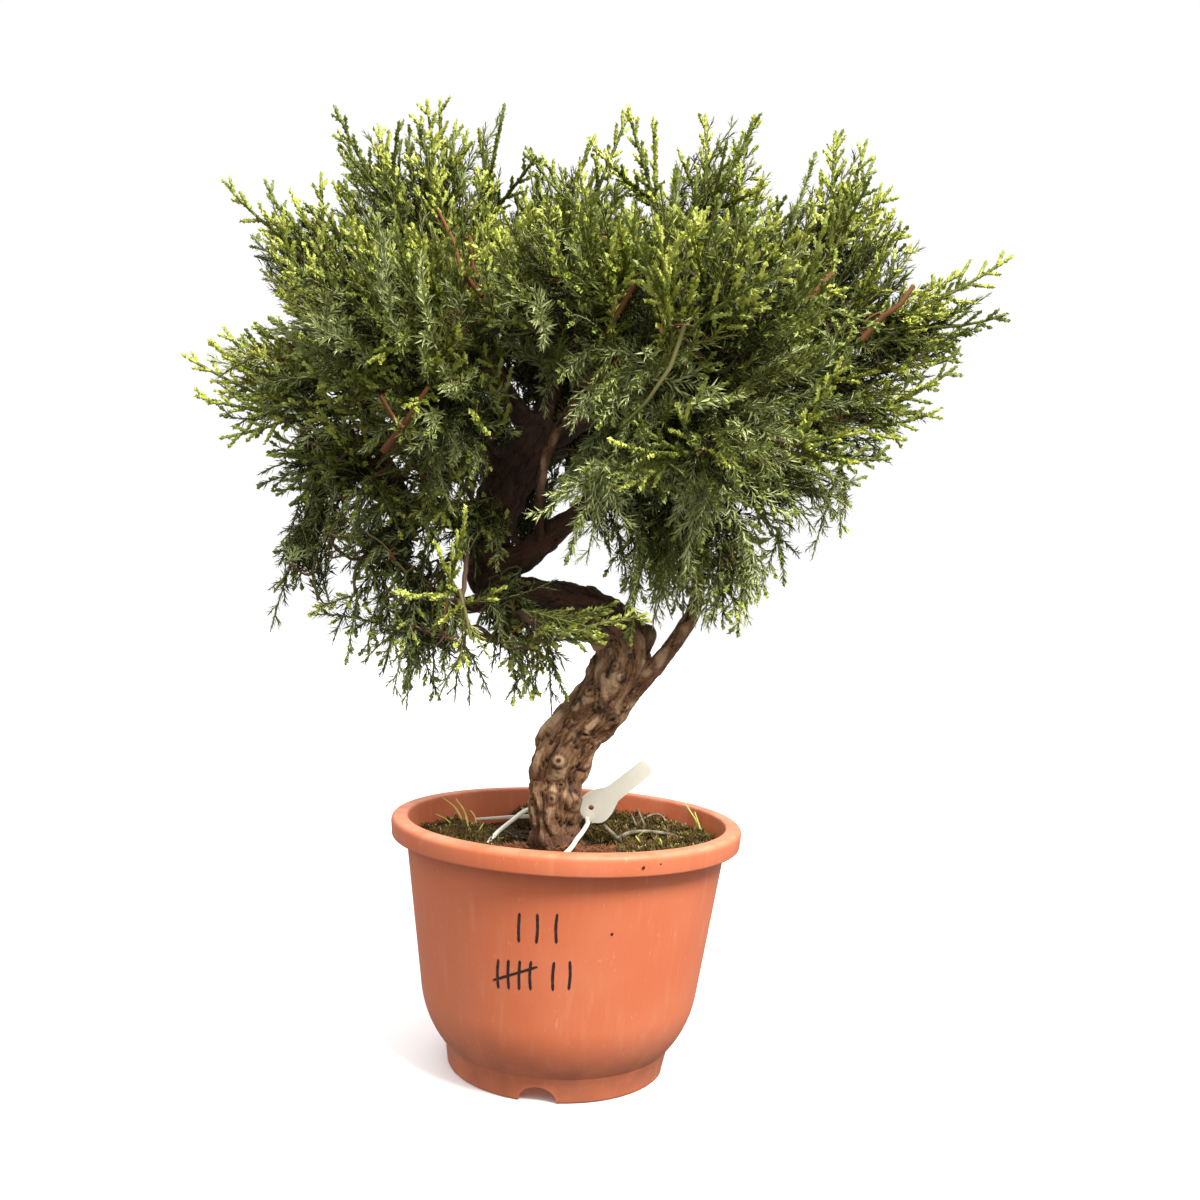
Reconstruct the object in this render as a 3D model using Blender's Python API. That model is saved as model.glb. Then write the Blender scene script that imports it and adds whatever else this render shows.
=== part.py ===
"""A nursery juniper bonsai in its round plastic pot.

Metres, +Z up, standing on the pot's foot. The front is towards -Y. The sizes below are in
millimetres, measured from the pot's axis. At the end the whole plant is moved sideways so
that the middle of its outline stands over the origin.
"""

import math

import bmesh
import bpy
from mathutils import Matrix, Vector, noise

MM = 0.001
GAP = 0.3  # clearance between pieces that touch
LIMB_CLEARANCE = 0.45  # the same, measured at the corners of a limb's section

# Pot: a thin moulded wall, a hollow rolled rim and a foot ring.
POT_SIDES = 30
POT_WALL = 2.0
WALL_TOP_RADIUS = 92.9
WALL_SLOPE = math.radians(8.4)
BOWL_TOP_HEIGHT = 44.0
BOWL_RADIUS = 58.0
BOWL_END_SLOPE = math.radians(42.0)
RIM_RADIUS = 100.0
RIM_TOP = 139.8
RIM_DEPTH = 11.2
RIM_EDGE = 1.8
FOOT_RADIUS = 62.0
FOOT_HEIGHT = 11.5
FOOT_WALL = 3.6
FLOOR_TOP = 10.6
FLOOR_BOTTOM = 8.4
FLOOR_RADIUS = 59.0
DRAIN_RADIUS = 5.0
DRAIN_CIRCLE = 36.0
DRAIN_SIDES = 10
NOTCH_WIDTH = 20.5
NOTCH_HEIGHT = 8.6
NOTCH_AZIMUTH = math.radians(-97.0)
NOTCHES = 4
NOTCH_SIDES = 12

# Soil and moss inside the pot.
SOIL_TOP = 118.6
SOIL_SWELL = 0.9
SOIL_SWELL_LENGTH = 38.0
SOIL_SIDES = 15
SOIL_RINGS = 5
SEAT_RADIUS = 24.0  # level patch under the trunk
MOSS = {  # from and to, in degrees round the pot and in radius, and the height of the cushion
    "moss_right": ((-32, 108), (38, 80), 6.5),
    "moss_left": ((150, 216), (52, 79), 4.0),
}
MOSS_STEPS = (10, 4)
MOSS_THINNING = 0.7  # how much of a cushion's height is lost towards its edges
MOSS_LUMP_LENGTH = 12.0
MOSS_LUMP_SHARE = 0.3

# Trunk, from the flat cut on the soil to the fork: (x, y, z, radius).
TRUNK_SIDES = 10
TRUNK_LOWER = [
    (-5, 1, SOIL_TOP + GAP, 17),
    (-7, 1, 128, 14.5),
    (-7, 1, 148, 15.5),
    (-7, 2, 166, 16.5),
    (-1, 2, 183, 17),
    (12, 1, 200, 17),
    (22, 0, 216, 16.5),
    (27, -2, 232, 16),
]
TRUNK_CROOK = [
    (27, -2, 233, 16),
    (21, -2, 248, 15),
    (4, -1, 259, 14),
    (-14, 1, 262, 13.5),
    (-33, 4, 263, 13),
    (-49, 6, 272, 12.5),
    (-54, 7, 285, 12.5),
]
TRUNK_UPPER = [
    (-54, 7, 285, 12),
    (-55, 7, 302, 12),
    (-49, 7, 321, 11.5),
    (-38, 9, 343, 10.5),
    (-27, 12, 364, 9),
]

# Boughs, each after the limb that bears it: (x, y, z, radius) from inside that limb to the free end.
BOUGH_SIDES = 6
BOUGHS = {
    "right_lower_bough": [
        (24, -4, 201, 6), (39, -9, 221, 5.8), (54, -12, 240, 5), (64, -16, 258, 4.4),
        (67, -18, 269, 4),
    ],
    "pruned_stub": [
        (28, -3, 224, 6.5), (37, -5, 237, 6.5), (40, -5, 250, 5.6),
    ],
    "left_bough": [
        (-55, 7, 298, 8), (-82, 4, 312, 7), (-110, 0, 318, 6.2), (-141, -8, 343, 4.5),
    ],
    "right_bough": [
        (-52, 6, 279, 9), (-30, 1, 289, 8), (-8, -6, 309, 6.8), (30, -16, 331, 5.4),
        (62, -24, 340, 4.4), (94, -24, 337, 3.4),
    ],
    "low_left_bough": [
        (-45, 5, 264, 6), (-66, -8, 258, 5), (-86, -14, 256, 4), (-96, -15, 248, 3),
    ],
    "hooked_bough": [
        (-82, -13, 256, 3.4), (-88, -15, 266, 3.2), (-99, -14, 279, 3), (-111, -12, 290, 2.6),
    ],
    "low_middle_bough": [
        (-68, -9, 258, 3), (-64, -18, 250, 2.6), (-54, -24, 243, 2.2), (-44, -27, 240, 2),
    ],
    "front_low_left_bough": [
        (-52, 5, 277, 4), (-60, -12, 281, 3.2), (-64, -30, 288, 2.4),
    ],
    "front_bare_bough": [
        (-22, -3, 294, 3.4), (-24, -17, 311, 3), (-20, -28, 345, 2.8), (-4, -38, 378, 2.6),
        (8, -56, 402, 2.4), (8, -76, 414, 2.2),
    ],
    "left_upper_bough": [
        (-104, 1, 317, 5), (-118, 4, 345, 4.6), (-136, 6, 385, 4), (-152, 6, 420, 3.4),
        (-158, 6, 438, 2.8),
    ],
    "left_hanging_bough": [
        (-133, -6, 336, 3), (-147, -4, 326, 2.6), (-156, -3, 308, 2.2), (-158, -2, 294, 1.8),
    ],
    "crown_left_bough": [
        (-29, 11, 358, 7), (-50, 8, 385, 6), (-72, 4, 412, 5.2), (-90, 2, 438, 4.2),
    ],
    "crown_middle_bough": [
        (-29, 11, 357, 7), (-22, 16, 386, 6), (-14, 20, 412, 5), (-10, 20, 440, 4.2),
    ],
    "crown_right_bough": [
        (-31, 11, 352, 7), (2, 10, 372, 6), (34, 8, 402, 5), (58, 8, 442, 4),
    ],
    "far_right_bough": [
        (4, 10, 374, 5.4), (50, 0, 378, 5), (88, 0, 384, 4.4), (124, 0, 388, 3.4),
    ],
    "right_top_bough": [
        (84, 0, 383, 3.6), (104, 6, 404, 3.4), (122, 10, 430, 2.8),
    ],
    "back_left_bough": [
        (-40, 9, 338, 6.5), (-58, 32, 352, 5.6), (-76, 58, 372, 4.8), (-90, 80, 392, 4),
    ],
    "back_middle_bough": [
        (-23, 15, 382, 4.4), (-25, 40, 396, 4), (-24, 66, 408, 3.6), (-23, 88, 424, 3),
    ],
    "back_right_bough": [
        (-36, 10, 346, 6.5), (-10, 36, 358, 5.6), (26, 62, 374, 4.8), (52, 82, 394, 4),
    ],
    "back_low_right_bough": [
        (18, 57, 370, 3.6), (36, 70, 367, 3.2), (52, 82, 360, 2.8),
    ],
    "front_left_bough": [
        (-42, 8, 334, 6), (-62, -16, 346, 5.2), (-80, -42, 362, 4.4), (-92, -64, 378, 3.8),
    ],
    "front_right_bough": [
        (-4, -7, 311, 4.6), (18, -34, 338, 4.2), (40, -58, 352, 3.8), (56, -74, 358, 3.2),
    ],
    "front_right_upper_bough": [
        (38, -56, 351, 3.2), (52, -66, 368, 3), (64, -80, 388, 2.6),
    ],
}

# Foliage masses: middle, half sizes, and the furthest tips that each one reaches.
MASS_SKIN = 58  # points on the skin of a mass
MASS_UNEVENNESS = 0.22
MASS_LUMPS = 2.1  # how quickly the unevenness changes round a mass
TIP_CLEARANCE = 0.16  # angle round a tip that is kept free of other skin points
TIP_SHARPNESS = 1.2
TIP_SPREAD = math.radians(30)  # half angle of the arm that runs out to a tip
MASSES = {
    "crown_left_mass": (
        (-104, 2, 470), (54, 58, 50),
        [(-98, 0, 547), (-152, 0, 537), (-55, 10, 546), (-122, 8, 532)],
    ),
    "crown_middle_mass": ((-14, 18, 470), (48, 58, 42), [(-6, 30, 533), (16, 20, 553), (-40, 10, 524)]),
    "crown_right_mass": ((68, 8, 474), (46, 58, 44), [(61, 10, 546), (88, 10, 549), (100, 20, 516)]),
    "right_top_mass": ((142, 12, 460), (42, 56, 42), [(138, 20, 545), (155, 20, 543), (172, 4, 492)]),
    "right_tip_mass": ((176, 0, 424), (30, 44, 26), [(240, 0, 474), (234, 0, 438), (204, 20, 462)]),
    "right_middle_mass": ((146, -4, 384), (42, 52, 32), [(212, 0, 404), (202, 0, 383), (190, -12, 372)]),
    "right_low_mass": ((110, -22, 336), (38, 46, 28), [(156, -40, 346), (138, -40, 305), (120, -36, 300)]),
    "right_hanging_mass": ((74, -36, 302), (28, 34, 32), [(89, -60, 270), (74, -60, 258), (102, -50, 286)]),
    "centre_hanging_mass": ((30, -54, 312), (22, 24, 34), [(40, -46, 247), (-8, -50, 306)]),
    "left_top_mass": ((-160, 4, 454), (30, 48, 28), [(-213, 0, 491), (-192, 20, 444), (-190, 10, 476)]),
    "left_tip_mass": ((-172, -4, 386), (38, 46, 28), [(-231, 0, 392), (-203, -20, 349), (-222, -6, 402)]),
    "left_low_mass": ((-148, -6, 336), (32, 42, 22), [(-190, 0, 314), (-176, 0, 326)]),
    "left_hanging_mass": ((-158, -2, 290), (13, 18, 24), [(-173, 0, 240), (-169, 0, 262), (-150, 0, 314)]),
    "low_left_mass": ((-112, -10, 284), (24, 28, 22), [(-126, -6, 312), (-134, 0, 222), (-128, 0, 262)]),
    "bottom_left_mass": (
        (-88, -16, 236), (30, 32, 22),
        [(-91, -20, 198), (-62, -20, 208), (-112, -14, 216)],
    ),
    "bottom_middle_mass": (
        (-38, -28, 238), (26, 18, 16),
        [(-14, -40, 204), (13, -30, 255), (-30, -32, 216)],
    ),
    "front_low_left_mass": ((-66, -42, 292), (18, 20, 26), [(-74, -48, 320), (-40, -44, 276)]),
    "front_left_mass": (
        (-104, -92, 404), (54, 54, 44),
        [(-128, -140, 388), (-148, -110, 414), (-84, -150, 420)],
    ),
    "front_middle_mass": (
        (-14, -106, 420), (42, 52, 38),
        [(-10, -172, 416), (-24, -126, 456), (12, -150, 440)],
    ),
    "front_right_mass": (
        (72, -96, 416), (46, 56, 44),
        [(84, -168, 414), (56, -130, 458), (118, -118, 432)],
    ),
    "front_low_right_mass": (
        (66, -98, 346), (44, 40, 30),
        [(96, -136, 346), (44, -130, 330), (112, -110, 352)],
    ),
    "front_low_middle_mass": ((-58, -92, 352), (40, 40, 24), [(-60, -140, 352), (-34, -116, 340)]),
    "back_left_mass": (
        (-118, 104, 430), (56, 52, 52),
        [(-160, 150, 450), (-130, 178, 420), (-112, 130, 500)],
    ),
    "back_middle_mass": ((-22, 120, 446), (46, 54, 52), [(-20, 196, 440), (-30, 150, 506), (10, 180, 470)]),
    "back_right_mass": ((78, 104, 434), (52, 56, 50), [(100, 176, 430), (140, 140, 446), (80, 140, 500)]),
    "back_low_left_mass": (
        (-92, 98, 352), (46, 46, 32),
        [(-120, 150, 350), (-140, 110, 346), (-70, 146, 338)],
    ),
    "back_low_right_mass": ((62, 96, 352), (46, 48, 32), [(90, 150, 346), (116, 104, 340), (50, 148, 332)]),
    "inner_back_mass": ((-12, 60, 370), (30, 24, 34), []),
}

# Plastic label: an upright plate on the moss behind the trunk, and the tie that holds it there.
LABEL_THICKNESS = 1.2
LABEL_PLACE = (17, 50)
LABEL_OUTLINE = [  # along the plate from the middle of its head, and half width
    (-10.5, 4.8), (-4.2, 10), (5.2, 9.2), (12.6, 5.3), (39.5, 5.3), (41, 3.8),
]
LABEL_TURN = math.radians(41.0)
STRAP_RADIUS = 1.4
STRAP_SIDES = 6
STRAP_ROUTE = [  # heights are above the soil's level
    (11.4, 48.8, 11), (11.8, 30, 13), (11.8, 12, 15), (9.4, -6, 14.2), (6.6, -14, 11.8), (2, -24, 6.8),
    (-6, -31, 3.2), (-20, -33, 2.4), (-36, -26, 2.6), (-44.5, -9, 3.2), (-42, 16, 5.5), (-35, 38, 9),
    (-26, 52, 14), (-10, 57, 18), (5.4, 50.8, 19),
]
TAIL_ROUTE = [(11, 50.2, 12.5), (-6, 57, 11), (-30, 58, 8.6), (-58, 56, 6.0)]
TAIL_WIDTH = 3.6
TAIL_THICKNESS = 1.0
TAIL_NARROWING = 0.6


def clear_scene():
    for thing in list(bpy.data.objects):
        bpy.data.objects.remove(thing)


def material(name, colour, roughness):
    made = bpy.data.materials.new(name)
    made.use_nodes = True
    shader = made.node_tree.nodes["Principled BSDF"]
    shader.inputs["Base Color"].default_value = (*colour, 1)
    shader.inputs["Roughness"].default_value = roughness
    shader.inputs["Metallic"].default_value = 0
    return made


def add_object(name, bm, finish, smooth=True):
    """Turn a bmesh in millimetres into an object in metres, with its faces pointing out."""
    bmesh.ops.recalc_face_normals(bm, faces=bm.faces)
    bmesh.ops.scale(bm, vec=(MM, MM, MM), verts=bm.verts)
    mesh = bpy.data.meshes.new(name)
    bm.to_mesh(mesh)
    bm.free()
    if finish:
        mesh.materials.append(finish)
    if smooth:
        mesh.shade_smooth()
        mesh.set_sharp_from_angle(angle=math.radians(40))
    made = bpy.data.objects.new(name, mesh)
    bpy.context.scene.collection.objects.link(made)
    return made


def as_cutter(cutter):
    cutter.hide_render = True
    cutter.display_type = "WIRE"
    return cutter


def cut(target, cutter):
    boolean = target.modifiers.new("cut_" + cutter.name, "BOOLEAN")
    boolean.operation = "DIFFERENCE"
    boolean.object = as_cutter(cutter)


def keep_largest_body(target):
    """Apply the cuts, and drop any crumb that they left beside the main body."""
    graph = bpy.context.evaluated_depsgraph_get()
    mesh = bpy.data.meshes.new_from_object(target.evaluated_get(graph))
    target.modifiers.clear()
    bm = bmesh.new()
    bm.from_mesh(mesh)
    left = set(bm.verts)
    bodies = []
    while left:
        body, edge = set(), [left.pop()]
        while edge:
            vert = edge.pop()
            body.add(vert)
            near = {link.other_vert(vert) for link in vert.link_edges} & left
            left -= near
            edge.extend(near)
        bodies.append(body)
    crumbs = set(bm.verts) - max(bodies, key=len)
    bmesh.ops.delete(bm, geom=list(crumbs), context="VERTS")
    bm.to_mesh(mesh)
    bm.free()
    target.data = mesh


# ---------------------------------------------------------------- pot


def wall_radius(height):
    """Outer radius of the straight part of the pot's wall."""
    return WALL_TOP_RADIUS - (RIM_TOP - height) * math.tan(WALL_SLOPE)


def bowl_arc(wall, steps):
    """The rounded lower part of the pot, from the straight wall down, set in by the wall given."""
    start = wall_radius(BOWL_TOP_HEIGHT)
    points = []
    for step in range(steps + 1):
        slope = WALL_SLOPE + (BOWL_END_SLOPE - WALL_SLOPE) * step / steps
        radius = start - BOWL_RADIUS * (math.cos(WALL_SLOPE) - math.cos(slope))
        height = BOWL_TOP_HEIGHT - BOWL_RADIUS * (math.sin(slope) - math.sin(WALL_SLOPE))
        points.append((radius - wall, height))
    return points


def pot_profile():
    """Half section of the pot as (radius, height), from the middle of the floor round to its underside."""
    inside = [(0, FLOOR_TOP), (FLOOR_RADIUS, FLOOR_TOP)]
    inside += list(reversed(bowl_arc(POT_WALL, 2)))
    inside += [(wall_radius(RIM_TOP) - POT_WALL, RIM_TOP - 1.0)]
    skirt_foot = RIM_TOP - RIM_DEPTH
    rim = [
        (WALL_TOP_RADIUS - 0.6, RIM_TOP),
        (RIM_RADIUS - 3.4, RIM_TOP),
        (RIM_RADIUS - 1.0, RIM_TOP - 1.4),
        (RIM_RADIUS, RIM_TOP - 4.4),
        (RIM_RADIUS - 0.8, skirt_foot),
        (RIM_RADIUS - 0.8 - RIM_EDGE, skirt_foot),
        (RIM_RADIUS - 0.6 - RIM_EDGE, RIM_TOP - 2.4),
        (wall_radius(RIM_TOP - 2.4), RIM_TOP - 2.4),
    ]
    foot = [
        (FOOT_RADIUS + 1.2, FOOT_HEIGHT),
        (FOOT_RADIUS, 0),
        (FOOT_RADIUS - FOOT_WALL, 0),
        (FOOT_RADIUS - FOOT_WALL, FLOOR_BOTTOM),
        (0, FLOOR_BOTTOM),
    ]
    return inside + rim + bowl_arc(0, 4) + foot


def turned(name, profile, finish):
    """A solid turned from a half section that starts and ends on the axis."""
    bm = bmesh.new()
    rings = []
    for radius, height in profile:
        if radius == 0:
            rings.append([bm.verts.new((0, 0, height))])
            continue
        angles = [2 * math.pi * side / POT_SIDES for side in range(POT_SIDES)]
        rings.append([bm.verts.new((radius * math.cos(a), radius * math.sin(a), height)) for a in angles])
    for lower, upper in zip(rings, rings[1:]):
        for side in range(POT_SIDES):
            after = (side + 1) % POT_SIDES
            if len(lower) == 1:
                bm.faces.new((lower[0], upper[side], upper[after]))
            elif len(upper) == 1:
                bm.faces.new((lower[side], upper[0], lower[after]))
            else:
                bm.faces.new((lower[side], upper[side], upper[after], lower[after]))
    return add_object(name, bm, finish)


def pot(finish):
    made = turned("pot", pot_profile(), finish)
    places = [(0, 0)] + [polar(DRAIN_CIRCLE, math.radians(45 + 90 * turn)) for turn in range(4)]
    for count, place in enumerate(places):
        bm = bmesh.new()
        bmesh.ops.create_cone(
            bm, cap_ends=True, segments=DRAIN_SIDES, radius1=DRAIN_RADIUS, radius2=DRAIN_RADIUS,
            depth=2 * FLOOR_TOP, matrix=Matrix.Translation((*place, FLOOR_TOP / 2)),
        )
        cut(made, add_object(f"drain_cutter_{count}", bm, None))
    for turn in range(NOTCHES):
        azimuth = NOTCH_AZIMUTH + 2 * math.pi * turn / NOTCHES
        bm = bmesh.new()
        arch = Matrix.Diagonal((NOTCH_WIDTH / 2, NOTCH_HEIGHT, 1, 1))
        lie_down = Matrix.Rotation(azimuth + math.pi / 2, 4, "Z") @ Matrix.Rotation(math.pi / 2, 4, "X")
        out = Matrix.Translation((*polar(FOOT_RADIUS, azimuth), 0))
        bmesh.ops.create_cone(
            bm, cap_ends=True, segments=NOTCH_SIDES, radius1=1, radius2=1,
            depth=6 * FOOT_WALL, matrix=out @ lie_down @ arch,
        )
        cut(made, add_object(f"notch_cutter_{turn}", bm, None))
    keep_largest_body(made)
    return made


def polar(radius, azimuth):
    return radius * math.cos(azimuth), radius * math.sin(azimuth)


# ---------------------------------------------------------------- soil and moss


def soil_height(x, y):
    """Top of the soil: gently uneven, and level under the trunk."""
    seat = TRUNK_LOWER[0]
    away = math.hypot(x - seat[0], y - seat[1]) / SEAT_RADIUS
    swell = SOIL_SWELL * noise.noise(Vector((x, y, 0)) / SOIL_SWELL_LENGTH)
    return SOIL_TOP + swell * min(1, max(0, away - 1))


def soil(finish):
    """Fills the pot from its floor, a fraction clear of the wall."""
    clear = POT_WALL + 2 * GAP
    side = [(FLOOR_RADIUS - 2 * GAP, FLOOR_TOP + GAP)] + list(reversed(bowl_arc(clear, 2)))
    reach = wall_radius(SOIL_TOP) - clear
    bm = bmesh.new()
    rings = [(radius, lambda x, y, level=level: level) for radius, level in side]
    rings += [(reach * (SOIL_RINGS - ring) / SOIL_RINGS, soil_height) for ring in range(SOIL_RINGS)]
    made = []
    for radius, height in rings:
        spots = [polar(radius, 2 * math.pi * turn / SOIL_SIDES) for turn in range(SOIL_SIDES)]
        made.append([bm.verts.new((x, y, height(x, y))) for x, y in spots])
    for lower, upper in zip(made, made[1:]):
        for turn in range(SOIL_SIDES):
            after = (turn + 1) % SOIL_SIDES
            bm.faces.new((lower[turn], lower[after], upper[after], upper[turn]))
    bm.faces.new(made[0])
    bm.faces.new(made[-1])
    return add_object("soil", bm, finish)


def moss_height(name, x, y):
    """Top of a moss cushion: it follows the soil under it and is thickest in its middle."""
    (low_turn, high_turn), (low_radius, high_radius), rise = MOSS[name]
    turn = math.degrees(math.atan2(y, x)) % 360
    turn -= 360 if turn > high_turn + 1 else 0
    along = 2 * (turn - low_turn) / (high_turn - low_turn) - 1
    across = 2 * (math.hypot(x, y) - low_radius) / (high_radius - low_radius) - 1
    lumps = 1 + MOSS_LUMP_SHARE * noise.noise(Vector((x, y, 0)) / MOSS_LUMP_LENGTH)
    edges = (1 - MOSS_THINNING * along**4) * (1 - MOSS_THINNING * across**4)
    return soil_height(x, y) + 2 * GAP + rise * edges * lumps


def moss(name, finish):
    (low_turn, high_turn), (low_radius, high_radius), _ = MOSS[name]
    around, across = MOSS_STEPS
    bm = bmesh.new()
    top, bottom = [], []
    for i in range(around + 1):
        azimuth = math.radians(low_turn + (high_turn - low_turn) * i / around)
        for j in range(across + 1):
            x, y = polar(low_radius + (high_radius - low_radius) * j / across, azimuth)
            bottom.append(bm.verts.new((x, y, soil_height(x, y) + 2 * GAP)))
            top.append(bm.verts.new((x, y, moss_height(name, x, y))))
    row = across + 1
    for i in range(around):
        for j in range(across):
            a = i * row + j
            bm.faces.new((top[a], top[a + row], top[a + row + 1], top[a + 1]))
            bm.faces.new((bottom[a], bottom[a + 1], bottom[a + row + 1], bottom[a + row]))
    rim = [j for j in range(row)] + [i * row + across for i in range(1, around + 1)]
    rim += [around * row + j for j in reversed(range(across))] + [i * row for i in reversed(range(1, around))]
    for a, b in zip(rim, rim[1:] + rim[:1]):
        bm.faces.new((top[a], top[b], bottom[b], bottom[a]))
    return add_object(name, bm, finish)


# ---------------------------------------------------------------- limbs


def smooth_route(points, steps):
    """Points on a Catmull-Rom curve through the given ones, each with its radius as a fourth number."""
    points = [Vector(point) for point in points]
    ends = [2 * points[0] - points[1], *points, 2 * points[-1] - points[-2]]
    route = []
    for a, b, c, d in zip(ends, ends[1:], ends[2:], ends[3:]):
        for step in range(steps):
            t = step / steps
            bend = (2 * a - 5 * b + 4 * c - d) * t**2 + (3 * b - a - 3 * c + d) * t**3
            route.append(0.5 * (2 * b + (c - a) * t + bend))
    return route + [points[-1]]


def tube(name, points, sides, finish, extra=0.0, steps=2, level_foot=False):
    """A tapering limb along the points. extra fattens it and lengthens both ends, for use as a cutter."""
    route = smooth_route(points, steps)
    spots = [Vector(point[:3]) for point in route]
    radii = [point[3] + extra for point in route]
    ways = [(b - a).normalized() for a, b in zip(spots, spots[1:])]
    ways = [ways[0]] + [(a + b).normalized() for a, b in zip(ways, ways[1:])] + [ways[-1]]
    spots[0] -= ways[0] * extra
    spots[-1] += ways[-1] * extra
    across = ways[0].orthogonal().normalized()
    bm = bmesh.new()
    rings = []
    for count, (spot, way, radius) in enumerate(zip(spots, ways, radii)):
        if level_foot and count == 0:
            way = Vector((0, 0, 1))
        across = (across - way * across.dot(way)).normalized()
        other = way.cross(across)
        angles = [2 * math.pi * side / sides for side in range(sides)]
        spokes = [across * math.cos(a) + other * math.sin(a) for a in angles]
        rings.append([bm.verts.new(spot + radius * spoke) for spoke in spokes])
    for lower, upper in zip(rings, rings[1:]):
        for side in range(sides):
            after = (side + 1) % sides
            bm.faces.new((lower[side], lower[after], upper[after], upper[side]))
    bm.faces.new(rings[0])
    bm.faces.new(rings[-1])
    return add_object(name, bm, finish)


def limb_cutter(name, points, sides):
    """The same limb, fatter by the clearance, to be taken out of whatever it enters."""
    return as_cutter(tube(name + "_cutter", points, sides, None, extra=LIMB_CLEARANCE))


def trunk(bark):
    """Three lengths, divided where the trunk bends round the wide gap, each with a flat cut."""
    lower = tube("trunk_lower", TRUNK_LOWER, TRUNK_SIDES, bark, level_foot=True)
    crook = tube("trunk_crook", TRUNK_CROOK, TRUNK_SIDES, bark)
    upper = tube("trunk_upper", TRUNK_UPPER, TRUNK_SIDES, bark)
    cutters = {
        "trunk_lower": limb_cutter("trunk_lower", TRUNK_LOWER, TRUNK_SIDES),
        "trunk_crook": limb_cutter("trunk_crook", TRUNK_CROOK, TRUNK_SIDES),
        "trunk_upper": limb_cutter("trunk_upper", TRUNK_UPPER, TRUNK_SIDES),
    }
    cut(crook, cutters["trunk_lower"])
    cut(upper, cutters["trunk_crook"])
    for length in (crook, upper):
        keep_largest_body(length)
    return [lower, crook, upper], cutters


def boughs(bark, cutters):
    """Each bough starts inside the limb that bears it and is cut back to that limb's skin."""
    made = []
    for name, points in BOUGHS.items():
        bough = tube(name, points, BOUGH_SIDES, bark)
        for other in cutters.values():
            cut(bough, other)
        keep_largest_body(bough)
        cutters[name] = limb_cutter(name, points, BOUGH_SIDES)
        made.append(bough)
    return made


# ---------------------------------------------------------------- foliage


def spread_directions(count):
    """Directions spread evenly over a sphere, on a golden-angle spiral."""
    golden = math.pi * (3 - math.sqrt(5))
    directions = []
    for step in range(count):
        height = 1 - 2 * (step + 0.5) / count
        level = math.sqrt(1 - height * height)
        directions.append(Vector((level * math.cos(golden * step), level * math.sin(golden * step), height)))
    return directions


def mass_reach(name, way):
    """Distance from the middle of a mass to its skin: an uneven ellipsoid drawn out to its tips."""
    middle, half, tips = MASSES[name]
    seed = 7.3 * list(MASSES).index(name)  # gives each mass its own unevenness
    plain = 1 / math.sqrt(sum((part / size) ** 2 for part, size in zip(way, half)))
    plain *= 1 + MASS_UNEVENNESS * noise.noise(way * MASS_LUMPS + Vector((seed, 0, 0)))
    reach = plain
    for tip in tips:
        arm = Vector(tip) - Vector(middle)
        angle = way.angle(arm)
        share = max(0, 1 - angle / TIP_SPREAD)
        reach = max(reach, plain + (arm.length - plain) * share**TIP_SHARPNESS)
    for other, (other_middle, other_half, _) in MASSES.items():
        if other == name:
            continue
        apart = Vector(other_middle) - Vector(middle)
        toward = way.dot(apart.normalized())
        if toward > 0.01:
            own, theirs = width_towards(half, apart), width_towards(other_half, apart)
            reach = min(reach, (apart.length * own / (own + theirs) - GAP) / toward)
    return reach


def width_towards(half, apart):
    """Half size of an ellipsoid along a direction."""
    way = apart.normalized()
    return 1 / math.sqrt(sum((part / size) ** 2 for part, size in zip(way, half)))


def mass(name, finish, cutters):
    middle, _, tips = MASSES[name]
    arms = [(Vector(tip) - Vector(middle)).normalized() for tip in tips]
    spread = spread_directions(MASS_SKIN)
    ways = [way for way in spread if all(way.angle(arm) > TIP_CLEARANCE for arm in arms)]
    bm = bmesh.new()
    on_sphere = [bm.verts.new(way) for way in ways + arms]
    hull = bmesh.ops.convex_hull(bm, input=on_sphere)
    bmesh.ops.delete(bm, geom=hull["geom_interior"] + hull["geom_unused"], context="VERTS")
    for vert in bm.verts:
        way = vert.co.normalized()
        vert.co = Vector(middle) + way * mass_reach(name, way)
    made = add_object(name, bm, finish)
    for limb in cutters.values():
        if boxes_meet(made, limb):
            cut(made, limb)
    keep_largest_body(made)
    return made


def boxes_meet(one, other):
    low_a, high_a = box_of(one)
    low_b, high_b = box_of(other)
    return all(low_a[k] < high_b[k] and low_b[k] < high_a[k] for k in range(3))


def box_of(thing):
    points = [vert.co for vert in thing.data.vertices]
    low = [min(point[k] for point in points) for k in range(3)]
    high = [max(point[k] for point in points) for k in range(3)]
    return low, high


# ---------------------------------------------------------------- label


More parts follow.
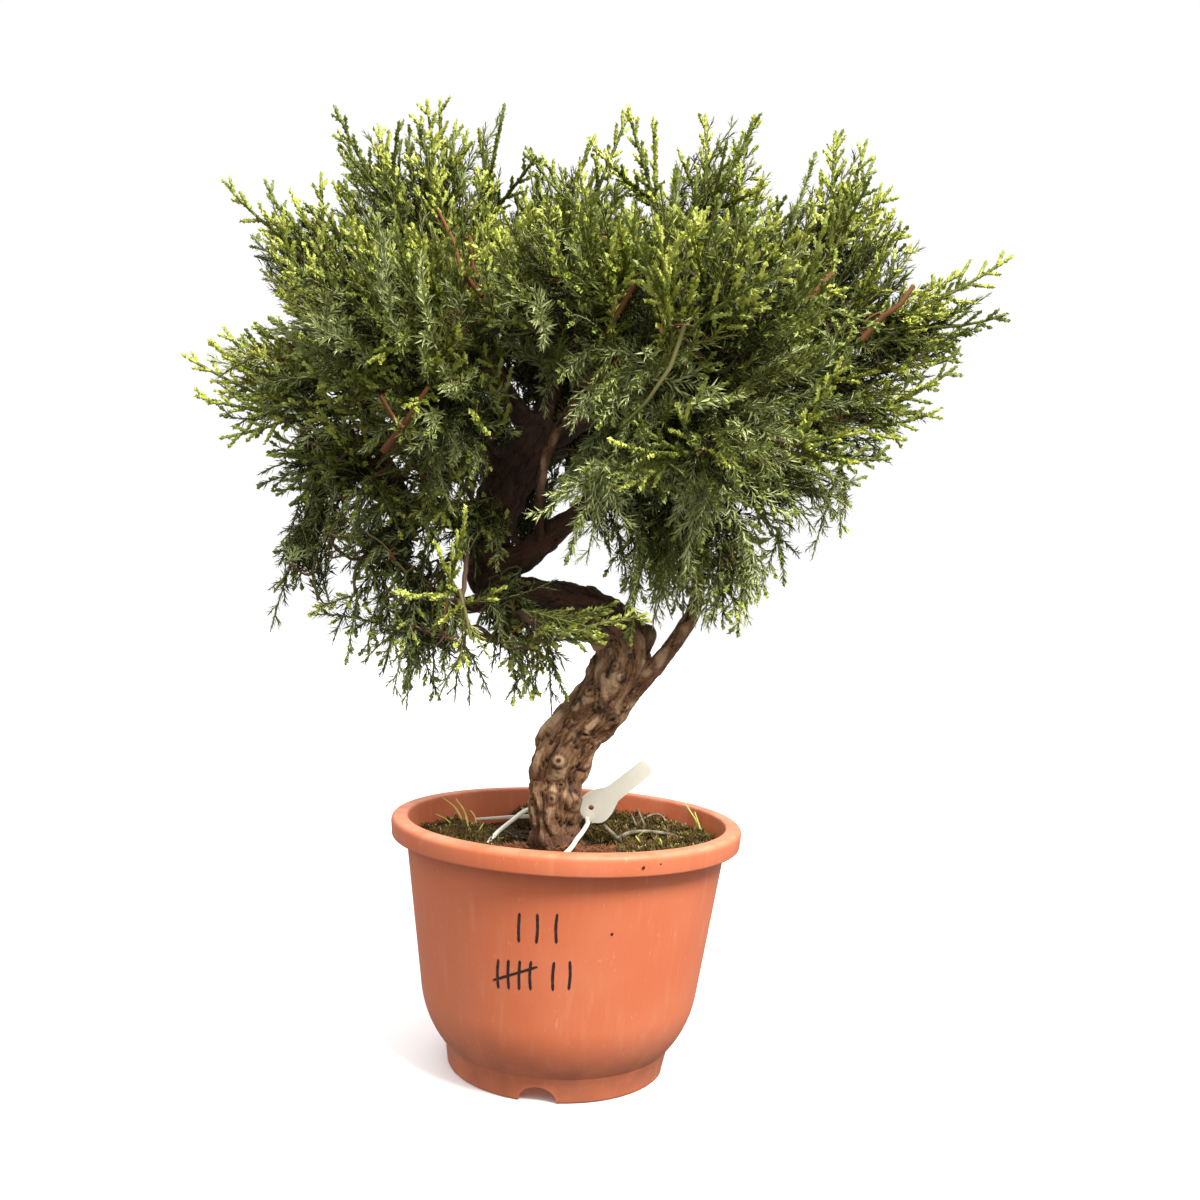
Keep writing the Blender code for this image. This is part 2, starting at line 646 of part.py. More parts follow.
def label(finish):
    """A flat plate with a broad head and a narrow stem up to the right, standing on the moss.

    The flat free end of its tie comes out behind it and lies back over the moss to the left.
    """
    outline = LABEL_OUTLINE + [(along, -side) for along, side in reversed(LABEL_OUTLINE)]
    bm = bmesh.new()
    front = [bm.verts.new((along, 0, side)) for along, side in outline]
    plate = bmesh.ops.extrude_face_region(bm, geom=[bm.faces.new(front)])
    back = [part for part in plate["geom"] if isinstance(part, bmesh.types.BMVert)]
    bmesh.ops.translate(bm, vec=(0, LABEL_THICKNESS, 0), verts=back)
    bmesh.ops.transform(bm, matrix=Matrix.Rotation(-LABEL_TURN, 4, "Y"), verts=bm.verts)
    lowest = min(bm.verts, key=lambda vert: vert.co.z).co
    x, y = LABEL_PLACE
    seat = moss_height("moss_right", x + lowest.x, y) + 2 * GAP
    bmesh.ops.translate(bm, vec=(x, y - LABEL_THICKNESS / 2, seat - lowest.z), verts=bm.verts)
    made = add_object("plant_label", bm, finish)
    joined = made.modifiers.new("tail", "BOOLEAN")
    joined.operation = "UNION"
    joined.object = as_cutter(tail())
    keep_largest_body(made)
    return made


def strap(finish):
    """The round tie: from the face of the label, round the foot of the trunk, to the label's side."""
    points = [(x, y, SOIL_TOP + rise, STRAP_RADIUS) for x, y, rise in STRAP_ROUTE]
    return tube("label_strap", points, STRAP_SIDES, finish, steps=1)


def tail():
    route = smooth_route([(x, y, SOIL_TOP + rise, 1) for x, y, rise in TAIL_ROUTE], 3)
    spots = [Vector(point[:3]) for point in route]
    bm = bmesh.new()
    rings = []
    for count, spot in enumerate(spots):
        near = spots[max(0, count - 1)], spots[min(len(spots) - 1, count + 1)]
        way = (near[1] - near[0]).normalized()
        out = way.cross(Vector((0, 0, 1))).normalized() * TAIL_THICKNESS / 2
        up = Vector((0, 0, TAIL_WIDTH / 2 * (1 - TAIL_NARROWING * count / len(spots))))
        rings.append([bm.verts.new(spot + s * out + t * up) for s, t in ((1, 1), (1, -1), (-1, -1), (-1, 1))])
    for lower, upper in zip(rings, rings[1:]):
        for side in range(4):
            after = (side + 1) % 4
            bm.faces.new((lower[side], lower[after], upper[after], upper[side]))
    bm.faces.new(rings[0])
    bm.faces.new(rings[-1])
    return add_object("label_tail", bm, None)


# ---------------------------------------------------------------- assembly


def centre_over_origin(pieces):
    """Move every object so that the middle of the plant's outline stands over the origin."""
    boxes = [box_of(piece) for piece in pieces]
    middle = [(min(low[k] for low, _ in boxes) + max(high[k] for _, high in boxes)) / 2 for k in (0, 1)]
    for thing in bpy.data.objects:
        thing.data.transform(Matrix.Translation((-middle[0], -middle[1], 0)))


def build():
    clear_scene()
    clay = material("orange_plastic", (0.78, 0.26, 0.12), 0.55)
    earth = material("soil", (0.045, 0.032, 0.022), 0.95)
    moss_green = material("moss", (0.09, 0.11, 0.025), 0.95)
    bark = material("bark", (0.22, 0.14, 0.085), 0.85)
    needles = material("needles", (0.10, 0.17, 0.06), 0.7)
    cream = material("cream_plastic", (0.86, 0.85, 0.68), 0.45)

    pieces = [pot(clay), soil(earth)]
    pieces += [moss(name, moss_green) for name in MOSS]
    lengths, cutters = trunk(bark)
    pieces += lengths + boughs(bark, cutters)
    pieces += [mass(name, needles, cutters) for name in MASSES]
    pieces += [label(cream), strap(cream)]
    centre_over_origin(pieces)


build()
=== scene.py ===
"""A nursery juniper bonsai in its round plastic pot, with its soil, moss, litter and plant label.

Sizes are in millimetres and places are measured from the pot's axis, with +Z up and the front
towards -Y. Meshes are turned into metres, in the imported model's frame, as they are made.
"""

import math
import random

import bmesh
import bpy
import numpy as np
from mathutils import Matrix, Vector, noise
from mathutils.bvhtree import BVHTree


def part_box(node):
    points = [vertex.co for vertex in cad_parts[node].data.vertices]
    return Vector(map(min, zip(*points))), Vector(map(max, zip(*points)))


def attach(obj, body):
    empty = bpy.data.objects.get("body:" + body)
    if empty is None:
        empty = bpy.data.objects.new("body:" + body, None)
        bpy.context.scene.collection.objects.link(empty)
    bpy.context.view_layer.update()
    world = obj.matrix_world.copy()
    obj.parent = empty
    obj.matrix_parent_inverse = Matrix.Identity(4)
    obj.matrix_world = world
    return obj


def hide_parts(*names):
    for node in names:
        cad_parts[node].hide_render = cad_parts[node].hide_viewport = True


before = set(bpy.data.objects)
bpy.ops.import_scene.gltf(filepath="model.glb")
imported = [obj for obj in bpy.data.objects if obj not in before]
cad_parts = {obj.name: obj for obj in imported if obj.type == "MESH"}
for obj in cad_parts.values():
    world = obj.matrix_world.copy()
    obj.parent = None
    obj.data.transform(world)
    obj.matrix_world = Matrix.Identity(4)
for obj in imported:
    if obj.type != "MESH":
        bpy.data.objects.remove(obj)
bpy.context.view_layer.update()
MM = 0.001
pot_low, pot_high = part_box("pot")
POT_AXIS = Vector(((pot_low.x + pot_high.x) / 2, (pot_low.y + pot_high.y) / 2, 0)) / MM

# ---------------------------------------------------------------- pot
# The pot is injection-moulded polypropylene, terracotta orange and matt from handling. It is one thin
# wall with a hollow rolled rim, a rounded bowl and a foot ring with four arched notches, turned here
# from its half section and then cut by its drain holes and notches.

POT_SIDES = 180
POT_WALL = 2.0
WALL_TOP_RADIUS = 92.9
WALL_SLOPE = math.radians(8.4)
BOWL_TOP_HEIGHT = 44.0
BOWL_RADIUS = 58.0
BOWL_END_SLOPE = math.radians(42.0)
RIM_RADIUS = 100.0
RIM_TOP = 139.8
RIM_DEPTH = 11.2
RIM_EDGE = 1.8
RIM_ROUND = 3.6
FOOT_RADIUS = 62.0
FOOT_HEIGHT = 11.5
FOOT_WALL = 3.6
FLOOR_TOP = 10.6
FLOOR_BOTTOM = 8.4
FLOOR_RADIUS = 59.0
DRAIN_RADIUS = 5.0
DRAIN_CIRCLE = 36.0
NOTCH_WIDTH = 20.5
NOTCH_HEIGHT = 8.6
NOTCH_AZIMUTH = math.radians(-97.0)
NOTCHES = 4
POT_ORANGE = (0.66, 0.165, 0.066)
POT_PALE = (0.80, 0.35, 0.20)
POT_LOW_TONE = (0.30, 0.11, 0.060)


class Value:
    """One output of a node. Sums, products and powers of it add Math nodes to its tree."""

    def __init__(self, nodes, socket):
        self.nodes = nodes
        self.socket = socket

    def maths(self, operation, *values):
        return self.nodes.add("ShaderNodeMath", {"operation": operation}, dict(enumerate(values)))

    def __add__(self, other):
        return self.maths("ADD", self, other)

    def __sub__(self, other):
        return self.maths("SUBTRACT", self, other)

    def __rsub__(self, other):
        return self.maths("SUBTRACT", other, self)

    def __mul__(self, other):
        return self.maths("MULTIPLY", self, other)

    def __pow__(self, other):
        return self.maths("POWER", self, other)

    __radd__ = __add__
    __rmul__ = __mul__

    def between(self, low, high):
        """0 below low, 1 above high and a smooth rise from one to the other."""
        settings = {"interpolation_type": "SMOOTHSTEP"}
        return self.nodes.add("ShaderNodeMapRange", settings, {"Value": self, "From Min": low, "From Max": high})


class Nodes:
    """The nodes of one material or of one geometry tree."""

    def __init__(self, tree):
        self.tree = tree

    def add(self, kind, settings=None, inputs=None, output=0):
        node = self.tree.nodes.new(kind)
        for name, value in (settings or {}).items():
            setattr(node, name, value)
        for name, value in (inputs or {}).items():
            self.feed(node.inputs[name], value)
        return Value(self, node.outputs[output])

    def feed(self, socket, value):
        if isinstance(value, Value):
            self.tree.links.new(value.socket, socket)
        else:
            socket.default_value = value

    def blend(self, factor, first, second):
        """A colour that goes from the first to the second as the factor goes from 0 to 1."""
        first, second = [(*c, 1) if isinstance(c, tuple) else c for c in (first, second)]
        return self.add("ShaderNodeMix", {"data_type": "RGBA"}, {0: factor, 6: first, 7: second}, output=2)


class Finish(Nodes):
    """A material: constants go straight on to the shader, and patterns are fed to it afterwards."""

    def __init__(self, name, colour, roughness, **constants):
        self.material = bpy.data.materials.new(name)
        self.material.use_nodes = True
        super().__init__(self.material.node_tree)
        self.shader = self.tree.nodes["Principled BSDF"]
        self.set("Base Color", (*colour, 1))
        self.set("Roughness", roughness)
        for socket, value in constants.items():
            self.set(socket.replace("_", " "), value)

    def set(self, socket, value):
        self.feed(self.shader.inputs[socket], value)

    def place(self):
        return self.add("ShaderNodeTexCoord", output=3)

    def along(self, axis):
        """One of the object's own coordinates, in metres."""
        return self.add("ShaderNodeSeparateXYZ", inputs={0: self.place()}, output="XYZ".index(axis))

    def speckle(self, scale, detail=4.0, stretch=(1, 1, 1), source=None):
        """Smooth noise from 0 to 1. Scale is in features per metre, and a stretch under 1 draws them out."""
        spots = self.add("ShaderNodeMapping", inputs={"Vector": source or self.place(), "Scale": stretch})
        return self.add("ShaderNodeTexNoise", inputs={"Vector": spots, "Scale": scale, "Detail": detail})

    def bump(self, height, depth):
        """Relief too fine for the mesh. Depth is in metres."""
        self.set("Normal", self.add("ShaderNodeBump", inputs={"Height": height, "Distance": depth, "Strength": 1.0}))


def as_piece(name, mesh, finish, smooth=None):
    """An object at the origin from a mesh in millimetres round the pot's axis, in metres."""
    mesh.transform(Matrix.Scale(MM, 4) @ Matrix.Translation(POT_AXIS))
    mesh.materials.clear()
    mesh.materials.append(finish.material)
    if smooth is not None:
        mesh.shade_smooth()
        mesh.set_sharp_from_angle(angle=math.radians(smooth))
    piece = bpy.data.objects.new(name, mesh)
    bpy.context.scene.collection.objects.link(piece)
    return piece


def turned(name, profile, sides):
    """A closed mesh turned from a half section of (radius, height) that starts and ends on the axis."""
    bm = bmesh.new()
    rings = []
    for radius, height in profile:
        count = sides if radius else 1
        angles = [2 * math.pi * side / sides for side in range(count)]
        rings.append([bm.verts.new((radius * math.cos(a), radius * math.sin(a), height)) for a in angles])
    for lower, upper in zip(rings, rings[1:]):
        for side in range(sides):
            after = (side + 1) % sides
            corners = [lower[side % len(lower)], lower[after % len(lower)]]
            corners += [upper[after % len(upper)], upper[side % len(upper)]]
            bm.faces.new(list(dict.fromkeys(corners)))
    bmesh.ops.recalc_face_normals(bm, faces=bm.faces)
    mesh = bpy.data.meshes.new(name)
    bm.to_mesh(mesh)
    bm.free()
    return mesh


def fillet(corner, start, end, steps=5):
    """Points round a corner of a section, from start to end, both of which lie near the corner."""
    shares = [step / steps for step in range(steps + 1)]
    bend = [((1 - t) ** 2, 2 * t * (1 - t), t**2) for t in shares]
    return [(a * start[0] + b * corner[0] + c * end[0], a * start[1] + b * corner[1] + c * end[1]) for a, b, c in bend]


def wall_radius(height):
    return WALL_TOP_RADIUS - (RIM_TOP - height) * math.tan(WALL_SLOPE)


def bowl_arc(wall, steps):
    """The rounded lower part of the pot, from the straight wall down, set in by the wall given."""
    points = []
    for step in range(steps + 1):
        slope = WALL_SLOPE + (BOWL_END_SLOPE - WALL_SLOPE) * step / steps
        radius = wall_radius(BOWL_TOP_HEIGHT) - BOWL_RADIUS * (math.cos(WALL_SLOPE) - math.cos(slope))
        points.append((radius - wall, BOWL_TOP_HEIGHT - BOWL_RADIUS * (math.sin(slope) - math.sin(WALL_SLOPE))))
    return points


def pot_profile():
    skirt_foot = RIM_TOP - RIM_DEPTH
    inner_edge = WALL_TOP_RADIUS - POT_WALL
    inside = [(0, FLOOR_TOP), (FLOOR_RADIUS, FLOOR_TOP), *reversed(bowl_arc(POT_WALL, 10))]
    inside += [(wall_radius(height) - POT_WALL, height) for height in (60, 80, 100, 120, 134)]
    inside += fillet((inner_edge, RIM_TOP), (inner_edge - 0.3, RIM_TOP - 1.6), (inner_edge + 1.4, RIM_TOP))
    rim = fillet((RIM_RADIUS, RIM_TOP), (RIM_RADIUS - RIM_ROUND, RIM_TOP), (RIM_RADIUS, RIM_TOP - RIM_ROUND), 7)
    rim += fillet((RIM_RADIUS - 0.8, skirt_foot), (RIM_RADIUS - 0.7, skirt_foot + 1), (RIM_RADIUS - 1.6, skirt_foot), 3)
    rim += [
        (RIM_RADIUS - 0.8 - RIM_EDGE, skirt_foot),
        (RIM_RADIUS - 0.6 - RIM_EDGE, RIM_TOP - 2.4),
        (wall_radius(RIM_TOP - 2.4), RIM_TOP - 2.4),
    ]
    outside = [(wall_radius(height), height) for height in (120, 100, 80, 60)]
    step_out = [(FOOT_RADIUS + 2.4, FOOT_HEIGHT + 1.4), (FOOT_RADIUS + 1.5, FOOT_HEIGHT)]
    foot = fillet((FOOT_RADIUS, 0), (FOOT_RADIUS + 0.1, 1.2), (FOOT_RADIUS - 1.2, 0), 3)
    foot += [(FOOT_RADIUS - FOOT_WALL, 0), (FOOT_RADIUS - FOOT_WALL, FLOOR_BOTTOM), (0, FLOOR_BOTTOM)]
    return inside + rim + outside + bowl_arc(0, 24) + step_out + foot


def drill(target, bodies):
    """Take the bodies, each a bmesh, out of the target's mesh."""
    for count, body in enumerate(bodies):
        cutter = bpy.data.objects.new(f"cutter_{count}", bpy.data.meshes.new("cutter"))
        body.to_mesh(cutter.data)
        bpy.context.scene.collection.objects.link(cutter)
        boolean = target.modifiers.new("cut", "BOOLEAN")
        boolean.operation = "DIFFERENCE"
        boolean.object = cutter
        apply_modifiers(target)
        bpy.data.objects.remove(cutter)


def apply_modifiers(target):
    """Turn the evaluated object into its own plain mesh."""
    graph = bpy.context.evaluated_depsgraph_get()
    target.data = bpy.data.meshes.new_from_object(target.evaluated_get(graph))
    target.modifiers.clear()


def cylinder(radius, depth, matrix, sides=40):
    body = bmesh.new()
    bmesh.ops.create_cone(
        body, cap_ends=True, segments=sides, radius1=radius, radius2=radius, depth=depth, matrix=matrix,
    )
    return body


def pot_cutters():
    spots = [Vector((0, 0, 0))]
    spots += [Matrix.Rotation(math.radians(45 + 90 * turn), 3, "Z") @ Vector((DRAIN_CIRCLE, 0, 0)) for turn in range(4)]
    bodies = [cylinder(DRAIN_RADIUS, 3 * FLOOR_TOP, Matrix.Translation(spot)) for spot in spots]
    arch = Matrix.Diagonal((NOTCH_WIDTH / 2, NOTCH_HEIGHT, 1, 1))
    for turn in range(NOTCHES):
        azimuth = NOTCH_AZIMUTH + 2 * math.pi * turn / NOTCHES
        out = Matrix.Rotation(azimuth, 4, "Z") @ Matrix.Translation((FOOT_RADIUS, 0, 0))
        lie_down = Matrix.Rotation(math.pi / 2, 4, "Z") @ Matrix.Rotation(math.pi / 2, 4, "X")
        bodies.append(cylinder(1, 6 * FOOT_WALL, out @ lie_down @ arch))
    return bodies


def pot_finish():
    clay = Finish("orange_plastic", POT_ORANGE, 0.5, Specular_IOR_Level=0.42)
    height = clay.along("Z")
    streaks = clay.speckle(170, 5, (1, 1, 0.06)).between(0.52, 0.8)
    blotches = clay.speckle(22, 3).between(0.35, 0.75)
    scuffs = clay.speckle(420, 8, (1, 1, 0.5)).between(0.64, 0.72)
    # Darker and rougher towards the foot of the pot, in patches.
    foot_band = (1 - height.between(0.014, 0.038)) * (0.35 + 0.65 * clay.speckle(60, 6).between(0.35, 0.65))
    # Painted highlight: a patchy pale band along the rounded top of the rim.
    rim_highlight = height.between(0.1365, 0.1398) * clay.speckle(90, 4).between(0.3, 0.7)
    worn = clay.blend(0.16 * blotches + 0.22 * streaks, POT_ORANGE, POT_PALE)
    worn = clay.blend(0.35 * scuffs + 0.45 * rim_highlight, worn, POT_PALE)
    clay.set("Base Color", clay.blend(0.5 * foot_band, worn, POT_LOW_TONE))
    clay.set("Roughness", 0.44 + 0.14 * blotches + 0.2 * foot_band)
    clay.bump(clay.speckle(900, 3) * 0.4 + clay.speckle(260, 2, (1, 1, 0.1)), 0.00012)
    return clay


pot_clay = pot_finish()
pot = as_piece("pot_body", turned("pot_body", pot_profile(), POT_SIDES), pot_clay)
for cutter_body in pot_cutters():
    bmesh.ops.transform(cutter_body, matrix=Matrix.Scale(MM, 4) @ Matrix.Translation(POT_AXIS), verts=cutter_body.verts)
    drill(pot, [cutter_body])
pot.data.shade_smooth()
pot.data.set_sharp_from_angle(angle=math.radians(35))
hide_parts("pot")
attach(pot, "root")

# ---------------------------------------------------------------- trunk and boughs
# The trunk rises from the soil with two gentle bends, turns sharply left and then climbs to its fork.
# It and the main boughs are solid wood under flaky, furrowed bark, with knots where twigs were cut.
# Each limb is a tapering tube; they are fused by a fine remesh and the bark's relief is then raised.

TRUNK_BASE = 118.9
LIMBS = {  # (x, y, z, radius), each limb after the one that bears it
    "trunk": [
        (-5, 1, 117, 15.5), (-6, 1, 124, 14.0), (-7, 1, 134, 14.4), (-7, 1, 148, 15.8), (-7, 2, 160, 15.6),
        (-6, 2, 170, 16.8), (-1, 2, 183, 17.0), (6, 2, 193, 16.2), (13, 1, 201, 17.0), (20, 0, 212, 16.2),
        (25, -1, 222, 16.6), (27, -2, 232, 16.0), (27, -2, 241, 15.4), (21, -2, 248, 15), (13, -2, 254, 14.2),
        (4, -1, 259, 14), (-14, 1, 262, 13.5), (-33, 4, 263, 13), (-45, 6, 268, 12.8), (-52, 7, 277, 12.5),
        (-55, 7, 290, 12.5), (-54, 7, 302, 13.5), (-47, 7, 321, 14), (-37, 9, 343, 13), (-27, 12, 364, 10),
    ],
    "right_lower_bough": [(20, -3, 196, 8), (30, -6, 210, 6.6), (39, -9, 221, 5.8), (54, -12, 240, 5), (64, -16, 258, 4.4), (67, -18, 269, 4)],
    "pruned_stub": [(26, -3, 220, 8), (33, -4, 231, 7.0), (38, -5, 241, 6.6), (40, -5, 250, 5.6)],
    "left_bough": [(-55, 7, 298, 8), (-82, 4, 312, 7), (-110, 0, 318, 6.2), (-141, -8, 343, 4.5)],
    "right_bough": [(-52, 6, 279, 9), (-30, 1, 289, 8), (-8, -6, 309, 6.8), (30, -16, 331, 5.4), (62, -24, 340, 4.4), (94, -24, 337, 3.4)],
    "low_left_bough": [(-45, 5, 264, 6), (-66, -8, 258, 5), (-86, -14, 256, 4), (-96, -15, 248, 3)],
    "hooked_bough": [(-82, -13, 256, 3.4), (-88, -15, 266, 3.2), (-99, -14, 279, 3), (-111, -12, 290, 2.6)],
    "low_middle_bough": [(-68, -9, 258, 3), (-64, -18, 250, 2.6), (-54, -24, 243, 2.2), (-44, -27, 240, 2)],
    "front_low_left_bough": [(-52, 5, 277, 4), (-60, -12, 281, 3.2), (-64, -30, 288, 2.4)],
    "front_bare_bough": [(-22, -3, 294, 3.4), (-24, -17, 311, 3), (-20, -28, 345, 2.8), (-4, -38, 378, 2.6), (8, -56, 402, 2.4), (8, -76, 414, 2.2)],
    "left_upper_bough": [(-104, 1, 317, 5), (-118, 4, 345, 4.6), (-136, 6, 385, 4), (-152, 6, 420, 3.4), (-158, 6, 438, 2.8)],
    "left_hanging_bough": [(-133, -6, 336, 3), (-147, -4, 326, 2.6), (-156, -3, 308, 2.2), (-158, -2, 294, 1.8)],
    "crown_left_bough": [(-29, 11, 358, 7), (-50, 8, 385, 6), (-72, 4, 412, 5.2), (-90, 2, 438, 4.2)],
    "crown_middle_bough": [(-29, 11, 357, 7), (-22, 16, 386, 6), (-14, 20, 412, 5), (-10, 20, 440, 4.2)],
    "crown_right_bough": [(-31, 11, 352, 7), (2, 10, 372, 6), (34, 8, 402, 5), (58, 8, 442, 4)],
    "far_right_bough": [(4, 10, 374, 5.4), (50, 0, 378, 5), (88, 0, 384, 4.4), (124, 0, 388, 3.4)],
    "right_top_bough": [(84, 0, 383, 3.6), (104, 6, 404, 3.4), (122, 10, 430, 2.8)],
    "back_left_bough": [(-40, 9, 338, 6.5), (-58, 32, 352, 5.6), (-76, 58, 372, 4.8), (-90, 80, 392, 4)],
    "back_middle_bough": [(-23, 15, 382, 4.4), (-25, 40, 396, 4), (-24, 66, 408, 3.6), (-23, 88, 424, 3)],
    "back_right_bough": [(-36, 10, 346, 6.5), (-10, 36, 358, 5.6), (26, 62, 374, 4.8), (52, 82, 394, 4)],
    "back_low_right_bough": [(18, 57, 370, 3.6), (36, 70, 367, 3.2), (52, 82, 360, 2.8)],
    "front_left_bough": [(-42, 8, 334, 6), (-62, -16, 346, 5.2), (-80, -42, 362, 4.4), (-92, -64, 378, 3.8)],
    "front_right_bough": [(-4, -7, 311, 4.6), (18, -34, 338, 4.2), (40, -58, 352, 3.8), (56, -74, 358, 3.2)],
    "front_right_upper_bough": [(38, -56, 351, 3.2), (52, -66, 368, 3), (64, -80, 388, 2.6)],
}
TRUNK_SIDE = ("trunk", "right_lower_bough", "pruned_stub", "right_bough", "left_bough")
TRUNK_VOXEL = 0.85
BOUGH_VOXEL = 1.0
ROUTE_STEP = 2.0
LIMB_SIDES = 24
KNOTS = 56
KNOT_SEED = 11
FRONT_KNOTS = (  # x, z, width and height of the cut twigs and knobs that face forward
    (-6, 174, 3.2, 3.0), (-17, 181, 2.2, 2.2), (8, 189, 2.8, 2.4), (10, 214, 2.8, 2.6),
    (23, 229, 2.2, 2.2), (27, 223, 2.2, 2.2), (15, 205, 2.6, 2.4), (29, 206, 2.2, 2.4),
    (23, 198, 2.6, 2.6), (4, 150, 4.4, 2.8), (-4, 160, 2.0, 1.6), (-20, 150, 2.4, 1.8),
    (11, 232, 2.6, 2.2), (2, 205, 3.2, 2.0), (-9, 152, 2.6, 1.8), (-1, 196, 2.6, 2.0),
)
BARK_BROWN = (0.185, 0.080, 0.031)
BARK_TAN = (0.430, 0.240, 0.115)
BARK_PALE = (0.700, 0.470, 0.275)
BARK_RUST = (0.120, 0.046, 0.024)
BARK_RED = (0.140, 0.060, 0.030)
BARK_UMBER = (0.062, 0.032, 0.018)
BARK_CREVICE_SHADE = (0.022, 0.011, 0.006)


def smooth_route(points, step):
    """A Catmull-Rom curve through the points, sampled about every step, as an array with a row for each sample."""
    points = np.array(points, float)
    ends = np.vstack([2 * points[0] - points[1], points, 2 * points[-1] - points[-2]])
    route = []
    for a, b, c, d in zip(ends, ends[1:], ends[2:], ends[3:]):
        count = max(1, round(np.linalg.norm((c - b)[:3]) / step))
        for t in np.arange(count) / count:
            bend = (2 * a - 5 * b + 4 * c - d) * t**2 + (3 * b - a - 3 * c + d) * t**3
            route.append(0.5 * (2 * b + (c - a) * t + bend))
    return np.array(route + [points[-1]])


def frames_along(spots):
    """At each sample of a route its direction and two directions across it that don't twist."""
    ways = np.gradient(spots, axis=0)
    ways /= np.linalg.norm(ways, axis=1)[:, None]
    across = np.array(Vector(ways[0]).orthogonal().normalized())
    first = []
    for way in ways:
        across = across - way * across.dot(way)
        across = across / np.linalg.norm(across)
        first.append(across)
    return ways, np.array(first), np.cross(ways, first)


def add_tube(bm, spots, radii, sides):
    """A closed tube with a rounded end, added to the bmesh."""
    ways, first, second = frames_along(spots)
    turns = 2 * np.pi * np.arange(sides) / sides
    rings = []
    for spot, radius, a, b in zip(spots, radii, first, second):
        ring = spot + radius * (np.cos(turns)[:, None] * a + np.sin(turns)[:, None] * b)
        rings.append([bm.verts.new(point) for point in ring])
    end = spots[-1] + ways[-1] * radii[-1] * 0.5
    rings.append([bm.verts.new(end + (vert.co - Vector(spots[-1])) * 0.6) for vert in rings[-1]])
    for lower, upper in zip(rings, rings[1:]):
        for side in range(sides):
            after = (side + 1) % sides
            bm.faces.new((lower[side], lower[after], upper[after], upper[side]))
    bm.faces.new(reversed(rings[0]))
    bm.faces.new(rings[-1])


limb_routes = {name: smooth_route(points, ROUTE_STEP) for name, points in LIMBS.items()}


def fused_limbs(name, limbs, voxel):
    """The named limbs as one closed mesh with even facets."""
    bm = bmesh.new()
    for limb in limbs:
        add_tube(bm, limb_routes[limb][:, :3], limb_routes[limb][:, 3], LIMB_SIDES)
    mesh = bpy.data.meshes.new(name)
    bm.to_mesh(mesh)
    bm.free()
    rough = bpy.data.objects.new(name, mesh)
    bpy.context.scene.collection.objects.link(rough)
    remesh = rough.modifiers.new("fuse", "REMESH")
    remesh.mode = "VOXEL"
    remesh.voxel_size = voxel
    soften = rough.modifiers.new("soften", "SMOOTH")
    soften.iterations = 4
    apply_modifiers(rough)
    mesh = rough.data
    bpy.data.objects.remove(rough)
    return mesh


def grain_of(points, limbs):
    """For points on the bark: coordinates that run with the grain, the limb's radius there and its route's sample."""
    samples = np.vstack([limb_routes[limb] for limb in limbs])
    frames, lengths = [], []
    for limb in limbs:
        spots = limb_routes[limb][:, :3]
        frames.append(np.stack(frames_along(spots)[1:], axis=1))
        lengths.append(np.r_[0, np.cumsum(np.linalg.norm(np.diff(spots, axis=0), axis=1))])
    frames, lengths = np.vstack(frames), np.concatenate(lengths)
    nearest = np.empty(len(points), int)
    for start in range(0, len(points), 4000):
        apart = points[start:start + 4000, None, :] - samples[None, :, :3]
        nearest[start:start + 4000] = np.argmin(np.linalg.norm(apart, axis=2) - samples[None, :, 3], axis=1)
    out = points - samples[nearest, :3]
    across = np.einsum("ij,ikj->ik", out, frames[nearest])
    across /= np.linalg.norm(across, axis=1)[:, None] + 1e-9
    radius = samples[nearest, 3]
    return np.column_stack([across * radius[:, None], lengths[nearest]]), radius


